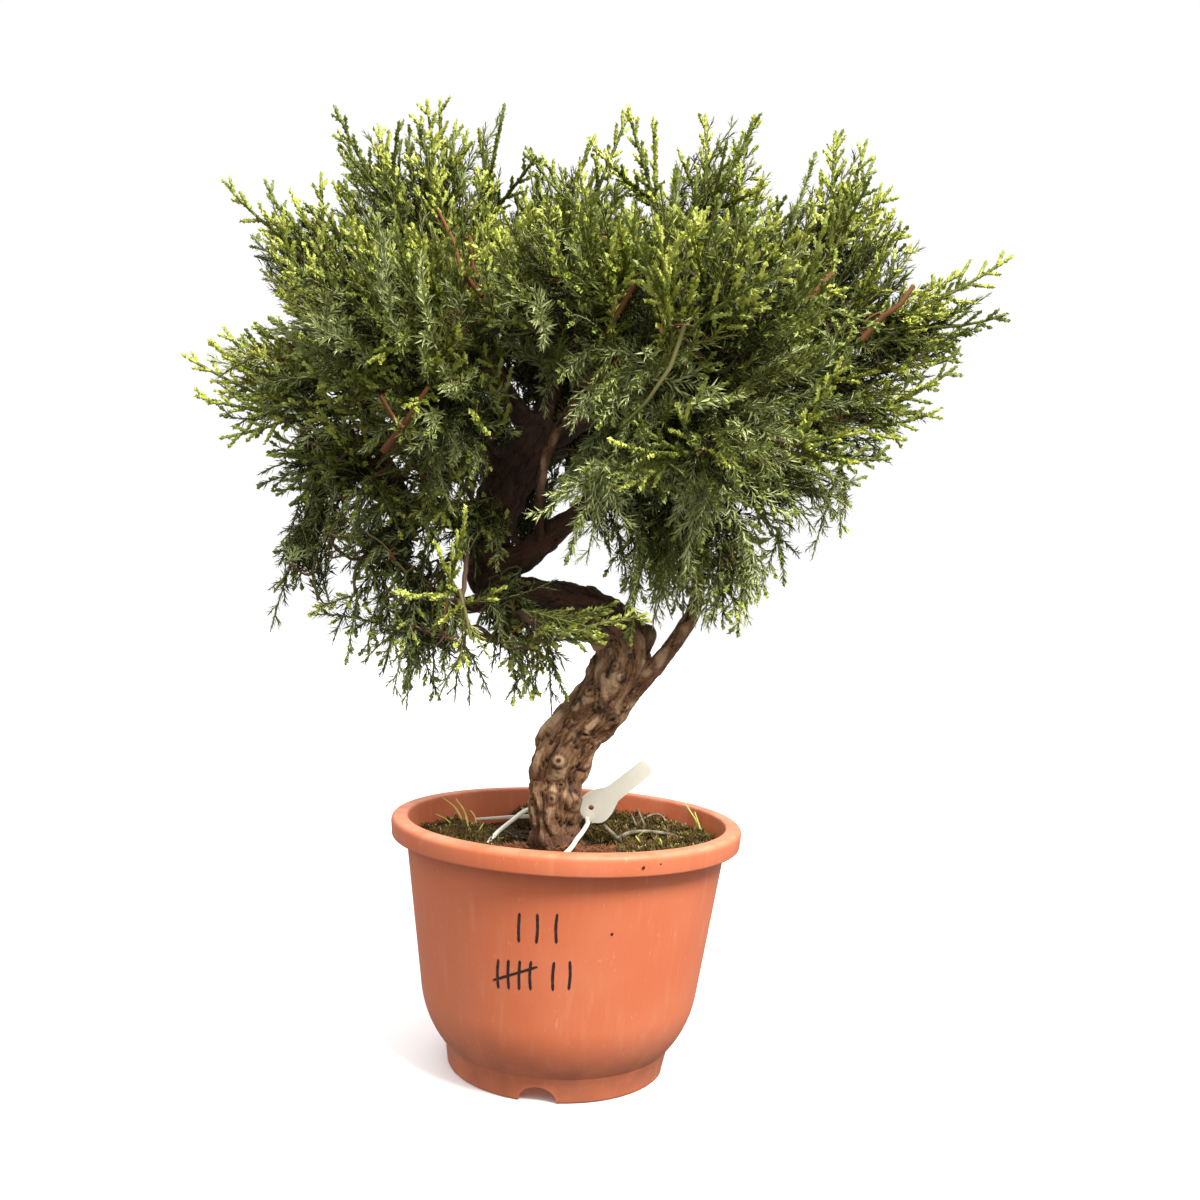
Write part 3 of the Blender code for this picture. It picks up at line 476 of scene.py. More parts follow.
def raise_bark(mesh, limbs, knots):
    """Move each point of the mesh in or out: lumps, long flaky ridges, cracks between them, and knots."""
    count = len(mesh.vertices)
    points = np.empty(count * 3)
    mesh.vertices.foreach_get("co", points)
    points = points.reshape(-1, 3)
    normals = np.empty(count * 3)
    mesh.vertices.foreach_get("normal", normals)
    normals = normals.reshape(-1, 3)
    grain, radius = grain_of(points, limbs)
    size = np.clip(radius / 15, 0.2, 1)
    lumps = np.array([noise.noise(Vector(p) / 13) for p in points])
    swells = np.array([noise.noise(Vector(p) / 6.2 + Vector((9, 2, 5))) for p in points])
    fine = np.array([noise.noise(Vector((g[0] / 1.2, g[1] / 1.2, g[2] / 5)) + Vector((7, 0, 3))) for g in grain])
    bend = np.array([noise.noise_vector(Vector(g) / 9) for g in grain]) * 3.4
    folds = np.array([noise.noise(Vector(g)) for g in (grain + bend) / np.array((6.5, 6.5, 22.0))])
    groove = np.clip(1 - np.abs(folds) / 0.06, 0, 1)
    cells = ((grain + bend) / np.array((5.6, 5.6, 15.0))).tolist()
    plates = [noise.voronoi(cell) for cell in cells]
    edge = np.array([apart[1] - apart[0] for apart, _ in plates])
    tone = np.array([noise.cell(nearest[0] * 7.3) for _, nearest in plates])
    crack = np.clip(1 - edge / 0.1, 0, 1) ** 1.3
    rise = 2.6 * lumps + 1.5 * swells + 2.8 * np.abs(folds) + 0.4 * (tone - 0.5) + 0.45 * fine
    rise -= 1.0 * groove + 0.4 * crack + 0.5
    rise *= size
    pits = np.zeros(count)
    for place, width, height in knots:
        apart = np.linalg.norm(points - place, axis=1) / width
        rise += height * np.exp(-(apart**2) * 1.1) - 0.9 * height * np.exp(-(apart**2) * 9)
        pits = np.maximum(pits, 0.85 * np.exp(-(apart**2) * 7) + 0.42 * np.exp(-(apart - 1.35) ** 2 * 8))
    above = np.clip((points[:, 2] - TRUNK_BASE) / 3, 0, 1)
    points += normals * (rise * above)[:, None]
    mesh.vertices.foreach_set("co", points.ravel())
    for name, values in (("grain_x", grain[:, 0]), ("grain_y", grain[:, 1]), ("grain_z", grain[:, 2])):
        mesh.attributes.new(name, "FLOAT", "POINT").data.foreach_set("value", values.astype(np.float32))
    # Painted shade for the bark's colour: dark in the grooves, cracks, knot pits and the rings round them, and in low
    # hollows.
    hollows = 0.3 * np.minimum(swells, 0) + 0.25 * np.minimum(lumps, 0)
    shade = np.clip(0.75 * groove + 0.3 * crack + 0.85 * pits - 1.5 * hollows, 0, 1)
    # Painted highlight along the raised crests of the folds, swells and lumps.
    crest_highlight = np.clip(0.4 * swells + 0.3 * lumps + 1.3 * np.abs(folds) - 0.16 - pits, 0, 1)
    for name, values in (("crevice_shade", shade), ("plate", tone), ("crest_highlight", crest_highlight)):
        mesh.attributes.new(name, "FLOAT", "POINT").data.foreach_set("value", values.astype(np.float32))
    mesh.update()


def knot_places():
    """Where small twigs were cut off: (place on the bark, width, height)."""
    pick = random.Random(KNOT_SEED)
    trunk = limb_routes["trunk"]
    _, first, second = frames_along(trunk[:, :3])
    knots = []
    for _ in range(KNOTS):
        at = pick.randrange(8, len(trunk) - 6)
        turn = pick.uniform(0, 2 * math.pi)
        out = first[at] * math.cos(turn) + second[at] * math.sin(turn)
        if math.sin(turn) * second[at][1] + math.cos(turn) * first[at][1] > -0.2:
            knots.append((trunk[at, :3] + out * trunk[at, 3], pick.uniform(2.0, 4.2), pick.uniform(1.4, 3.0)))
    for x, z, width, height in FRONT_KNOTS:
        at = int(np.argmin(np.hypot(trunk[:, 0] - x, trunk[:, 2] - z)))
        aside = np.hypot(trunk[at, 0] - x, trunk[at, 2] - z)
        depth = trunk[at, 1] - math.sqrt(max(1.0, trunk[at, 3] ** 2 - aside**2))
        knots.append((np.array((x, depth, z)), width, height))
    return knots


def bark_finish():
    bark = Finish("bark", BARK_BROWN, 0.8, Specular_IOR_Level=0.35)
    height = bark.along("Z")
    parts = [bark.add("ShaderNodeAttribute", {"attribute_name": f"grain_{axis}"}, output=2) for axis in "xyz"]
    grain = bark.add("ShaderNodeCombineXYZ", inputs=dict(enumerate(parts)))
    crevice_shade = bark.add("ShaderNodeAttribute", {"attribute_name": "crevice_shade"}, output=2)
    plate = bark.add("ShaderNodeAttribute", {"attribute_name": "plate"}, output=2)
    crest_highlight = bark.add("ShaderNodeAttribute", {"attribute_name": "crest_highlight"}, output=2)
    streaks = bark.speckle(0.55, 6, (1, 1, 0.2), grain).between(0.34, 0.68)
    flecks = bark.speckle(1.6, 5, (1, 1, 0.3), grain).between(0.5, 0.7)
    patches = bark.speckle(45, 4).between(0.36, 0.66)
    tan = bark.blend(0.75 * streaks + 0.2 * plate, BARK_BROWN, BARK_TAN)
    tan = bark.blend(0.55 * patches, tan, BARK_BROWN)
    # Painted highlight: the raised crests are lightened to pale tan.
    tan = bark.blend(crest_highlight.between(0.18, 0.62) * 0.75, tan, BARK_PALE)
    # The upper trunk and crook turn dark red-brown: partly the bark's own redder colour, partly painted shade under the
    # crown. The right lower bough and bark well in front of the axis stay tan.
    red = bark.blend(0.5 * streaks + 0.5 * plate, BARK_UMBER, BARK_RED)
    low = 1 - height.between(0.124, 0.148)
    high = height.between(0.232, 0.260) * (1 - bark.along("X").between(0.040, 0.052))
    high = high * (bark.along("Y") - POT_AXIS.y * MM).between(-0.030, -0.019)
    base = bark.blend(high, bark.blend(low * 0.85, tan, BARK_RUST), red)
    base = bark.blend(0.3 * flecks * (1 - high) * (1 - 0.8 * low), base, BARK_PALE)
    # Painted shade: the bark darkens to near black in its grooves, cracks, knot pits and hollows.
    bark.set("Base Color", bark.blend(crevice_shade.between(0.1, 0.8) * 0.9, base, BARK_CREVICE_SHADE))
    bark.set("Roughness", 0.56 + 0.22 * patches)
    bark.bump(bark.speckle(1.4, 7, (1, 1, 0.25), grain), 0.0014)
    return bark


bark = bark_finish()
knots = knot_places()
small_limbs = tuple(name for name in LIMBS if name not in TRUNK_SIDE)
for piece_name, limbs, voxel in (("trunk_bark", TRUNK_SIDE, TRUNK_VOXEL), ("bough_bark", small_limbs, BOUGH_VOXEL)):
    wood = fused_limbs(piece_name, limbs, voxel)
    raise_bark(wood, limbs, knots)
    wood_piece = as_piece(piece_name, wood, bark, smooth=180)
    replaced = [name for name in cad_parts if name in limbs]
    if "trunk" in limbs:
        replaced += ["trunk_lower", "trunk_crook", "trunk_upper"]
    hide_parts(*replaced)
    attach(wood_piece, "root")

# ---------------------------------------------------------------- foliage: how it grows
# Each mass of foliage is a tuft of twigs that leaves the nearest limb. Its fronds, feathery shoots set
# with awl needles, end on the skin of the mass, and a second layer fills it inside. The twigs grow
# from the limb towards the feet of the fronds, step by step, until each frond has been reached.

GROWTH_SEED = 5
CROWN_HEART = Vector((-12, 8, 360))
HOLLOW = Vector((-34, -22, 362))  # the shaded middle, where fronds take the inner manner of painted shade
HOLLOW_RADIUS = 46.0
OPENING_WIDTH = (-48, 5)  # the gap in the crown's face that shows the bare bough
OPENING_HEIGHT = (298, 394)
OPENING_DEPTH = -16
FROND_AREA = 335.0  # skin of a mass for each frond, in square millimetres
FROND_LENGTH = (36, 60)
LEADER_LENGTH = 62.0
INNER_SHARE = 0.6
NOTCH_WAYS = 900
NOTCH_NEAR = 0.40
NOTCH_FILL = 0.9
INNER_REACH = (0.35, 0.8)
TWIG_STEP = 5.0
TWIG_TIP_RADIUS = 0.55
TWIG_JOIN_POWER = 2.3
TWIG_WANDER = 0.1
SIDE_SPACING = 6.6
SIDE_ANGLE = 0.78
SIDE_LEAST = 7.5
SUB_FROM = 15.0
SUB_SPACING = 7.5
TIP_LEAF = 3.3
TIP_STEM = 1.15
FRESH_SWELL = 1.9  # how much thicker the stem is under scales than under needles
HANG_BELOW = 352.0
LIFT_ABOVE = 385.0
BEND_RANGE = 60.0
MANNERS = {  # tints and tip tints with their weights, leaf, its tilt, growing tip, side share, side spacing, sag
    "bright": (("cord", 66, "fresh", 34), ("bright", 58, "pale", 42), 3.4, 0.5, 8.0, 0.36, 0.95, -0.1),
    "young": (("fresh", 72, "cord", 28), ("bright", 82, "pale", 18), 3.5, 0.52, 9.0, 0.36, 0.95, -0.06),
    "green": (("mid", 40, "olive", 22, "light", 8, "grey", 12, "deep", 18), ("", 48, "pale", 30, "bright", 22), 5.7,
              0.66, 4.0, 0.4, 1.1, -0.06),
    "hanging": (("mid", 28, "deep", 24, "grey", 34, "olive", 14), ("", 62, "pale", 30, "bright", 8), 6.2, 0.75, 3.5,
                0.36, 1.05, 0.14),
    # Soft sprays are partly painted light: their grey-green is made paler to lift the shaded lower crown.
    "soft": (("soft", 54, "grey", 34, "light", 12), ("", 70, "pale", 30), 7.0, 0.74, 3.5, 0.5, 1.0, 0.12),
    # Painted light: the palest sprays, for the lower right in the shadow of the upper mass.
    "veil": (("veil", 64, "soft", 36), ("", 70, "pale", 30), 7.0, 0.74, 3.5, 0.5, 1.0, 0.12),
    "bare": (("dead", 70, "mid", 30), ("", 1), 4.5, 0.5, 0.0, 0.14, 1.9, 0.05),
    # Inner sprays are painted shade: mostly the darkest green.
    "inner": (("deep", 78, "mid", 20, "dead", 2), ("", 1), 7.6, 0.85, 0.0, 0.42, 1.3, 0.0),
}
FANS = (  # manner, foot, and the reach of each spray that fans out from there, in millimetres
    ("bright", (-150, -5, 450), ((-60, -5, 40), (-45, 20, 50), (-30, 20, 45), (-5, -10, 45))),
    ("bright", (-115, -5, 485), ((-35, -5, 50), (-25, -30, 20), (-15, 20, 50), (5, -25, 35))),
    ("bright", (-90, 0, 485), ((-10, 0, 60), (5, 15, 55), (-10, -25, 35), (15, -10, 40))),
    ("bright", (-60, -5, 480), ((-10, 10, 50), (5, -5, 60), (25, -25, 25))),
    ("bright", (-10, -15, 480), ((-30, 0, 35), (0, -10, 25))),
    ("bright", (35, 0, 490), ((-20, -5, 55), (-5, 10, 55), (-40, -20, 30), (-25, -35, 10))),
    ("bright", (60, -5, 490), ((-15, -5, 30), (0, 10, 55), (10, -20, 30), (20, -5, 40), (30, 20, 60), (30, -25, 5))),
    ("green", (110, -5, 465), ((-20, -25, 20), (0, 0, 30), (15, 15, 65))),
    ("bright", (135, 0, 475), ((0, 5, 65), (15, -10, 55), (25, 15, 55), (15, -25, 30), (30, -10, 30))),
    ("green", (165, 5, 450), ((5, 5, 45), (10, 0, 40), (25, 15, 35), (10, -25, 5))),
    ("bright", (170, -10, 430), ((65, 0, 40), (60, -10, 5), (35, 20, 15), (40, 5, -15))),
    ("bright", (155, -15, 375), ((50, 0, 30), (40, -10, 5), (25, 5, -10), (35, -15, 20))),
    ("green", (-145, -15, 420), ((-40, 0, 20), (-10, -30, 10), (-30, 40, 0))),
    ("young", (-160, -15, 365), (
        (-65, -5, 25), (-50, 15, 45), (-45, -20, 30), (-20, -30, 30), (-50, -25, 0), (-40, -10, -20))),
    ("bright", (-110, -95, 360), ((0, -20, 10), (25, -25, 30), (15, -15, 45), (20, -5, 50), (-35, 25, 20))),
    ("bright", (-75, -90, 370), ((-10, -20, 25), (5, -25, 10), (15, -10, 10))),
    ("bright", (-50, -90, 405), ((20, -20, -5), (20, -10, 25), (40, -5, 25))),
    ("green", (-90, -70, 420), ((-30, -15, 0), (-5, -15, 10), (30, -5, 20), (-25, 0, 40), (30, 0, 50))),
    ("soft", (-85, -75, 360), ((50, -20, 5), (30, -15, -25), (15, 0, -30), (-25, -15, -25), (50, 5, -10))),
    ("young", (50, -110, 340), ((-35, -20, -15), (-35, -25, 0), (-25, -20, 10), (-5, -10, 20), (-30, -10, -20))),
    ("young", (40, -125, 400), ((-25, -15, 45), (-10, -20, 40), (0, -15, 35), (10, -10, 15), (-15, -5, 15))),
    ("bright", (75, -100, 400), ((-20, -20, 15), (20, -20, 5), (0, -15, 30), (-5, -10, 35))),
    ("bright", (105, -85, 350), ((50, 5, -5), (30, -15, -10), (5, -25, 10), (30, -10, 5), (20, -15, 40))),
    ("bright", (110, -70, 430), ((20, -10, 0), (-5, -10, 25), (40, 0, -15), (-45, 0, 35))),
    ("soft", (30, -105, 380), ((-25, -15, 5), (0, -25, 5), (-10, -15, -20), (-25, -5, -15), (40, -15, -15))),
    ("soft", (10, -95, 410), ((-25, -15, 30), (-30, -15, 20), (-5, -10, 15), (-35, 0, 10))),
    ("green", (10, -80, 440), ((-5, -20, 10), (-35, 0, 25), (-10, 10, 30), (65, -5, 20))),
    # The palest sprays at the lower right are painted light.
    ("veil", (15, -95, 335), ((-10, -25, -5), (-20, 5, -50), (-10, 15, -50), (-35, -10, -30), (10, -5, -35))),
    ("veil", (60, -90, 335), ((10, -20, -30), (25, -10, -40), (45, -5, -25), (-5, 5, -55))),
    ("hanging", (35, -65, 300), ((-20, 0, -20), (-5, 5, -55), (15, 0, -40), (20, -15, -25))),
    ("green", (80, -45, 290), ((-10, -10, -35), (5, -20, -30), (0, 5, -35), (15, -5, -15))),
    ("hanging", (110, -15, 310), ((5, -5, -30), (15, 10, -15), (-10, -10, -40))),
    ("hanging", (145, 0, 350), ((5, 5, -40), (10, 20, -30), (-15, -20, -55), (25, -20, 0))),
    ("hanging", (-155, -15, 300), ((-10, -5, -20), (-15, -5, -60), (5, -10, -15))),
    ("hanging", (-115, -30, 325), ((-10, -10, -40), (20, -20, -30), (35, -10, -40), (-25, 0, -40))),
    ("hanging", (-90, -30, 245), ((-25, -5, -20), (-5, -20, -35), (0, -5, -45), (20, -25, -35), (-55, 0, 5))),
    ("hanging", (-60, -30, 235), ((-5, 5, -30), (5, -10, -30), (-10, -25, -25), (15, 0, -25))),
    ("hanging", (-20, -45, 245), ((0, 5, -30), (10, -10, -40), (-15, -5, -35), (-10, -20, -35))),
    ("hanging", (-125, -20, 260), ((0, -10, -35), (-10, 0, -25), (-20, -10, -10))),
    ("young", (-60, -85, 265), ((5, -15, 40), (-10, -10, 25), (-30, -5, 0), (0, -25, -10))),
    ("green", (-55, -85, 260), ((20, -15, 10), (45, -10, 15), (0, -15, -30), (15, -15, -25))),
    ("green", (-15, -80, 250), ((35, -10, 15), (30, -10, -5), (50, -10, 10))),
)
CURTAINS = (  # manner, how many, middle of their feet, half the spread of those, reach; in millimetres
    ("soft", 15, (30, -90, 385), (25, 15, 15), (-20, -15, -30)),
    ("soft", 9, (5, -75, 405), (20, 15, 15), (-5, -10, -30)),
    # The palest curtains at the lower right are painted light.
    ("veil", 18, (55, -85, 355), (25, 15, 15), (-10, -10, -35)),
    ("veil", 26, (65, -40, 305), (30, 20, 15), (-5, -5, -35)),
    ("veil", 14, (70, -30, 290), (25, 20, 15), (0, -5, -30)),
    ("soft", 10, (25, -75, 345), (20, 10, 15), (-25, -10, -30)),
    ("green", 6, (-25, -80, 250), (10, 10, 10), (35, -5, 0)),
    ("hanging", 17, (55, -45, 315), (30, 20, 15), (-5, -10, -35)),
    ("hanging", 6, (-25, -60, 245), (15, 15, 10), (10, -5, -25)),
    ("hanging", 8, (-145, -5, 330), (15, 15, 15), (-5, -5, -30)),
    # Inner fronds at the back, in painted shade.
    ("inner", 26, (-35, 35, 300), (10, 15, 15), (5, -5, 40)),
    ("inner", 18, (-20, 30, 350), (20, 20, 20), (0, 5, 30)),
    ("inner", 40, (-20, 50, 395), (55, 25, 50), (0, 5, 25)),
    ("green", 10, (-120, -20, 360), (15, 20, 15), (-25, -5, -10)),
    ("green", 14, (-120, -20, 320), (20, 20, 15), (-10, -5, -25)),
    ("green", 10, (-75, -70, 345), (15, 15, 15), (10, -10, -25)),
    ("green", 8, (-80, -40, 330), (20, 20, 15), (0, -5, -30)),
    ("green", 9, (40, -100, 430), (15, 10, 10), (-5, -15, 20)),
    ("green", 8, (0, -70, 440), (15, 10, 15), (-5, -15, 20)),
    ("green", 18, (0, -28, 425), (55, 14, 14), (0, -5, 38)),
    ("bare", 5, (-85, -55, 340), (15, 10, 15), (-15, -10, -10)),
    ("bare", 4, (-5, -70, 410), (10, 10, 10), (5, -10, 20)),
    ("bare", 3, (65, -90, 415), (10, 10, 5), (5, -10, 20)),
)
FACE_TWIGS = {  # twigs that show between the sprays: rows of x, y, z and radius in millimetres
    "rust": (
        ((-80, -72, 462, 0.8), (-70, -76, 444, 1.1), (-66, -80, 430, 1.3), (-54, -84, 416, 1.5)),
        ((122, -84, 436, 2.0), (112, -84, 424, 1.9), (104, -80, 416, 2.1), (90, -74, 400, 2.2)),
        ((172, -46, 442, 1.3), (166, -46, 432, 1.4), (158, -41, 426, 1.5), (148, -36, 414, 1.7)),
        ((22, -126, 416, 1.0), (14, -120, 402, 1.3), (6, -106, 386, 1.7)),
        ((-76, -104, 366, 1.2), (-86, -100, 350, 1.6), (-100, -84, 336, 2.0)),
        ((-98, -108, 360, 0.9), (-92, -102, 350, 1.1), (-88, -100, 346, 1.4)),
        ((-62, -84, 446, 0.9), (-60, -80, 432, 1.2), (-54, -78, 420, 1.4)),
    ),
    "green": (
        ((46, -134, 396, 1.2), (40, -134, 376, 1.1), (30, -130, 360, 0.9), (20, -122, 350, 0.7)),
        ((-58, -88, 268, 1.0), (-54, -94, 258, 0.9), (-50, -98, 244, 0.7)),
    ),
}

grower = random.Random(GROWTH_SEED)
shoots = {}  # tint: runs of (points, leaf lengths, leaf tilts)
stems = {}  # colour: runs of (points, radii)
twigs = {}  # colour: runs of (points, radii)


def spread_directions(count):
    """Directions spread evenly over a sphere, on a golden-angle spiral."""
    golden = math.pi * (3 - math.sqrt(5))
    directions = []
    for step in range(count):
        height = 1 - 2 * (step + 0.5) / count
        level = math.sqrt(1 - height * height)
        directions.append(Vector((level * math.cos(golden * step), level * math.sin(golden * step), height)))
    return directions


def scatter(size):
    return Vector((grower.gauss(0, size), grower.gauss(0, size), grower.gauss(0, size)))


class Mass:
    """The skin of one mass of foliage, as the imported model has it."""

    def __init__(self, node):
        mesh = node.data
        self.points = [vert.co / MM - POT_AXIS for vert in mesh.vertices]
        self.tree = BVHTree.FromPolygons(self.points, [tuple(face.vertices) for face in mesh.polygons])
        self.area = sum(face.area for face in mesh.polygons) / MM**2
        centres = [(Vector(face.center) / MM - POT_AXIS) * face.area / MM**2 for face in mesh.polygons]
        self.middle = sum(centres, Vector()) / self.area
        self.root, self.root_way = nearest_limb(self.middle)
        self.heading = (self.middle - self.root).normalized()

    def skin(self, way):
        """The furthest point of the skin in a direction from the middle."""
        return self.tree.ray_cast(self.middle + way * 400, -way)[0]

    def holds(self, point):
        out = point - self.middle
        skin = self.skin(out.normalized())
        return skin is not None and (skin - self.middle).length > out.length

    def ends(self):
        """Points on the skin for fronds to end on, evenly spread."""
        found = [self.skin(way) for way in spread_directions(round(self.area / FROND_AREA))]
        return [point for point in found if point is not None]

    def leaders(self):
        """The corners that stick out of the skin, where the longest fronds end."""
        arms = [point - self.middle for point in self.points]
        usual = sorted(arm.length for arm in arms)[len(arms) // 2]
        found = []
        for arm in arms:
            near = max(other.length for other in arms if other.angle(arm) < 0.35)
            if arm.length > 1.12 * usual and arm.length > near - 0.2:
                if all((arm + self.middle - other).length > 3 for other in found):
                    found.append(arm + self.middle)
        return found


def nearest_limb(point):
    """The spot on any limb that lies nearest to a point, and the way that limb runs there."""
    best = None
    for route in limb_routes.values():
        apart = np.linalg.norm(route[:, :3] - np.array(point), axis=1)
        at = int(np.argmin(apart))
        if best is None or apart[at] < best[0]:
            way = route[min(at + 1, len(route) - 1), :3] - route[max(at - 1, 0), :3]
            best = apart[at], Vector(route[at, :3]), Vector(way).normalized()
    return best[1], best[2]


masses = {name: Mass(node) for name, node in sorted(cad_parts.items()) if name.endswith("_mass")}


def arc_points(start, control, end, count):
    shares = [step / (count - 1) for step in range(count)]
    return [start * (1 - t) ** 2 + control * (2 * t * (1 - t)) + end * t**2 for t in shares]


def split_run(points, tip):
    """The run of points in two, with this length of it in the second."""
    for place in range(len(points) - 1, 0, -1):
        length = (points[place] - points[place - 1]).length
        if tip < length:
            middle = points[place].lerp(points[place - 1], tip / length)
            return points[:place] + [middle], [middle] + points[place:]
        tip -= length
    return [], points


def weighed_choice(shares):
    return grower.choices(shares[::2], shares[1::2])[0]


def add_shoot(points, spray, stem):
    """Deal one shoot out to the tint of its spray, and its growing tip to the tip's tint."""
    tint, tip_tint, needle, tilt, tip = spray
    tip *= grower.uniform(0.75, 1.25)
    body, growing = split_run(points, tip) if tip_tint else (points, [])
    if growing:
        shares = [step / (len(growing) - 1) for step in range(len(growing))]
        shoots.setdefault(tip_tint, []).append((
            growing, [TIP_LEAF * (1 - 0.12 * t) for t in shares], [0.52 - 0.3 * t for t in shares]))
        if tip_tint == "bright":
            stems.setdefault("tip", []).append((growing, [TIP_STEM * (1 - 0.35 * t) for t in shares]))
    if body:
        taper = 0.25 if growing else 0.5
        shares = [step / (len(body) - 1) for step in range(len(body))]
        shoots.setdefault(tint, []).append((
            body, [needle * (1 - taper * t) for t in shares], [tilt * (1 - taper * 0.9 * t) for t in shares]))
    shares = [step / (len(points) - 1) for step in range(len(points))]
    fresh = tint in ("cord", "fresh")
    swell = FRESH_SWELL if fresh else 1
    stems.setdefault("fresh" if fresh else "green", []).append(
        (points, [stem * swell * (1 - 0.4 * t) for t in shares]))


def grow_side(foot, way, along, length, plane, spray, again):
    """A side shoot that bends towards the way of its bearer, with smaller ones on a long shoot."""
    elbow = foot + way * length * 0.5
    end = elbow + (way + along * 0.45 + scatter(0.06)).normalized() * length * 0.5
    add_shoot([foot, elbow, end] if length > SUB_FROM else [foot, end], spray, 0.42)
    side = grower.choice((-1, 1))
    reach = SUB_SPACING * 0.9
    across = way.cross(plane).normalized()
    while again and length > SUB_FROM and reach < length - 3.5:
        out = way * math.cos(SIDE_ANGLE) + across * side * math.sin(SIDE_ANGLE) + plane * grower.uniform(-0.4, 0.4)
        size = max(SIDE_LEAST * 0.85, (length - reach) * 0.5) * grower.uniform(0.8, 1.1)
        grow_side(foot.lerp(end, reach / length), out.normalized(), way, size, plane, spray, False)
        side = -side
        reach += SUB_SPACING * grower.uniform(0.85, 1.25)


def grow_frond(start, end, manner, control=None):
    """A feathery frond: an arching axis with side shoots on both sides, shorter towards its tip."""
    tints, tips, needle, tilt, tip, share, spacing, sag = MANNERS[manner]
    length = (end - start).length
    if control is None:
        control = start.lerp(end, 0.5) + Vector((0, 0, sag * length)) + scatter(0.03 * length)
    spray = (weighed_choice(tints), weighed_choice(tips), needle * grower.uniform(0.9, 1.1), tilt, tip)
    add_shoot(arc_points(start, control, end, 6), spray, 0.66)
    plane = (end - start).cross(scatter(1.0)).normalized()
    side = 1
    reach = length * 0.1
    while reach < length - 4.0:
        t = reach / length
        foot = start * (1 - t) ** 2 + control * (2 * t * (1 - t)) + end * t**2
        along = ((control - start) * (1 - t) + (end - control) * t).normalized()
        across = along.cross(plane).normalized() * side + plane * grower.uniform(-0.32, 0.32)
        angle = SIDE_ANGLE * grower.uniform(0.8, 1.08)
        out = along * math.cos(angle) + across.normalized() * math.sin(angle)
        size = max(SIDE_LEAST, length * share * (1 - t) ** 0.8 * (0.6 + 0.4 * min(1, t / 0.25)))
        grow_side(foot, out, along, size * grower.uniform(0.75, 1.15), plane, spray, True)
        side = -side
        reach += SIDE_SPACING * spacing * grower.uniform(0.7, 1.25)


def manner_at(point, out, hang, lift):
    """How a frond looks where it stands: bright towards the sky, greyer and hanging below."""
    if hang > 0.3:
        return weighed_choice(("hanging", 66, "soft", 20, "green", 14))
    patch = noise.noise(point / 38)
    sunny = min(1, max(0, 0.25 + 0.4 * out.z + 0.35 * lift + 1.5 * patch))
    level = 1 - lift
    return weighed_choice(("bright", 3 + 44 * sunny, "green", 46, "soft", 30 * level, "hanging", 16 * level))


def frond_into(mass, end, kind, others):
    """One frond that ends at a point of the mass. Returns where it starts."""
    out = (end - mass.middle).normalized()
    walled_in = any(other.holds(end + out * 9) for other in others)
    if walled_in and kind == "outer":
        if grower.random() < 0.3:
            return None
        end = end + out * grower.uniform(0, 7)
    away = (end - CROWN_HEART).normalized()
    hang = min(1, max(0, (HANG_BELOW - end.z) / BEND_RANGE))
    lift = min(1, max(0, (end.z - LIFT_ABOVE) / BEND_RANGE))
    pull = Vector((0, 0, 0.5 * lift - 0.85 * hang))
    leave = (mass.heading * 0.55 + away * 0.35 + out * 0.35 + scatter(0.24)).normalized()
    arrive = (out * 0.34 + away * 0.48 + mass.heading * 0.15 + pull + scatter(0.30)).normalized()
    reach = (end - mass.middle).length
    length = min(max(reach * 1.05, FROND_LENGTH[0]), FROND_LENGTH[1]) * grower.uniform(0.8, 1.1)
    # Fronds inside a mass, walled in by another mass or in the hollow take the inner manner, which is painted shade.
    shaded = kind == "inner" or walled_in or (end - HOLLOW).length < HOLLOW_RADIUS
    manner = "inner" if shaded else manner_at(end, out, hang, lift)
    if in_opening(end):
        return None
    if kind == "leader":
        length = LEADER_LENGTH
        leave = arrive = (out + arrive * 0.3).normalized()
    control = end - arrive * length * 0.5
    start = control - leave * length * 0.5
    grow_frond(start, end, manner, control)
    return start


def in_opening(point):
    """Whether a point stands before the bare bough, where the crown's face is open."""
    return point.y < OPENING_DEPTH and all(
        low < place < high for place, (low, high) in zip((point.x, point.z), (OPENING_WIDTH, OPENING_HEIGHT)))


def notch_ends():
    """Points for fronds to end on where the crown falls in between its masses."""
    ways = [way for way in spread_directions(NOTCH_WAYS) if way.z > -0.08]
    reaches = []
    for way in ways:
        hits = [mass.tree.ray_cast(CROWN_HEART + way * 400, -way)[0] for mass in masses.values()]
        reaches.append(max([(hit - CROWN_HEART).length for hit in hits if hit] + [0.0]))
    found = []
    for way, own in zip(ways, reaches):
        near = [reach for other, reach in zip(ways, reaches) if way.dot(other) > math.cos(NOTCH_NEAR) and reach]
        full = NOTCH_FILL * sum(near) / max(1, len(near))
        found += [CROWN_HEART + way * full * share for share in (1.0, 0.78) if own < full - 8]
    return found


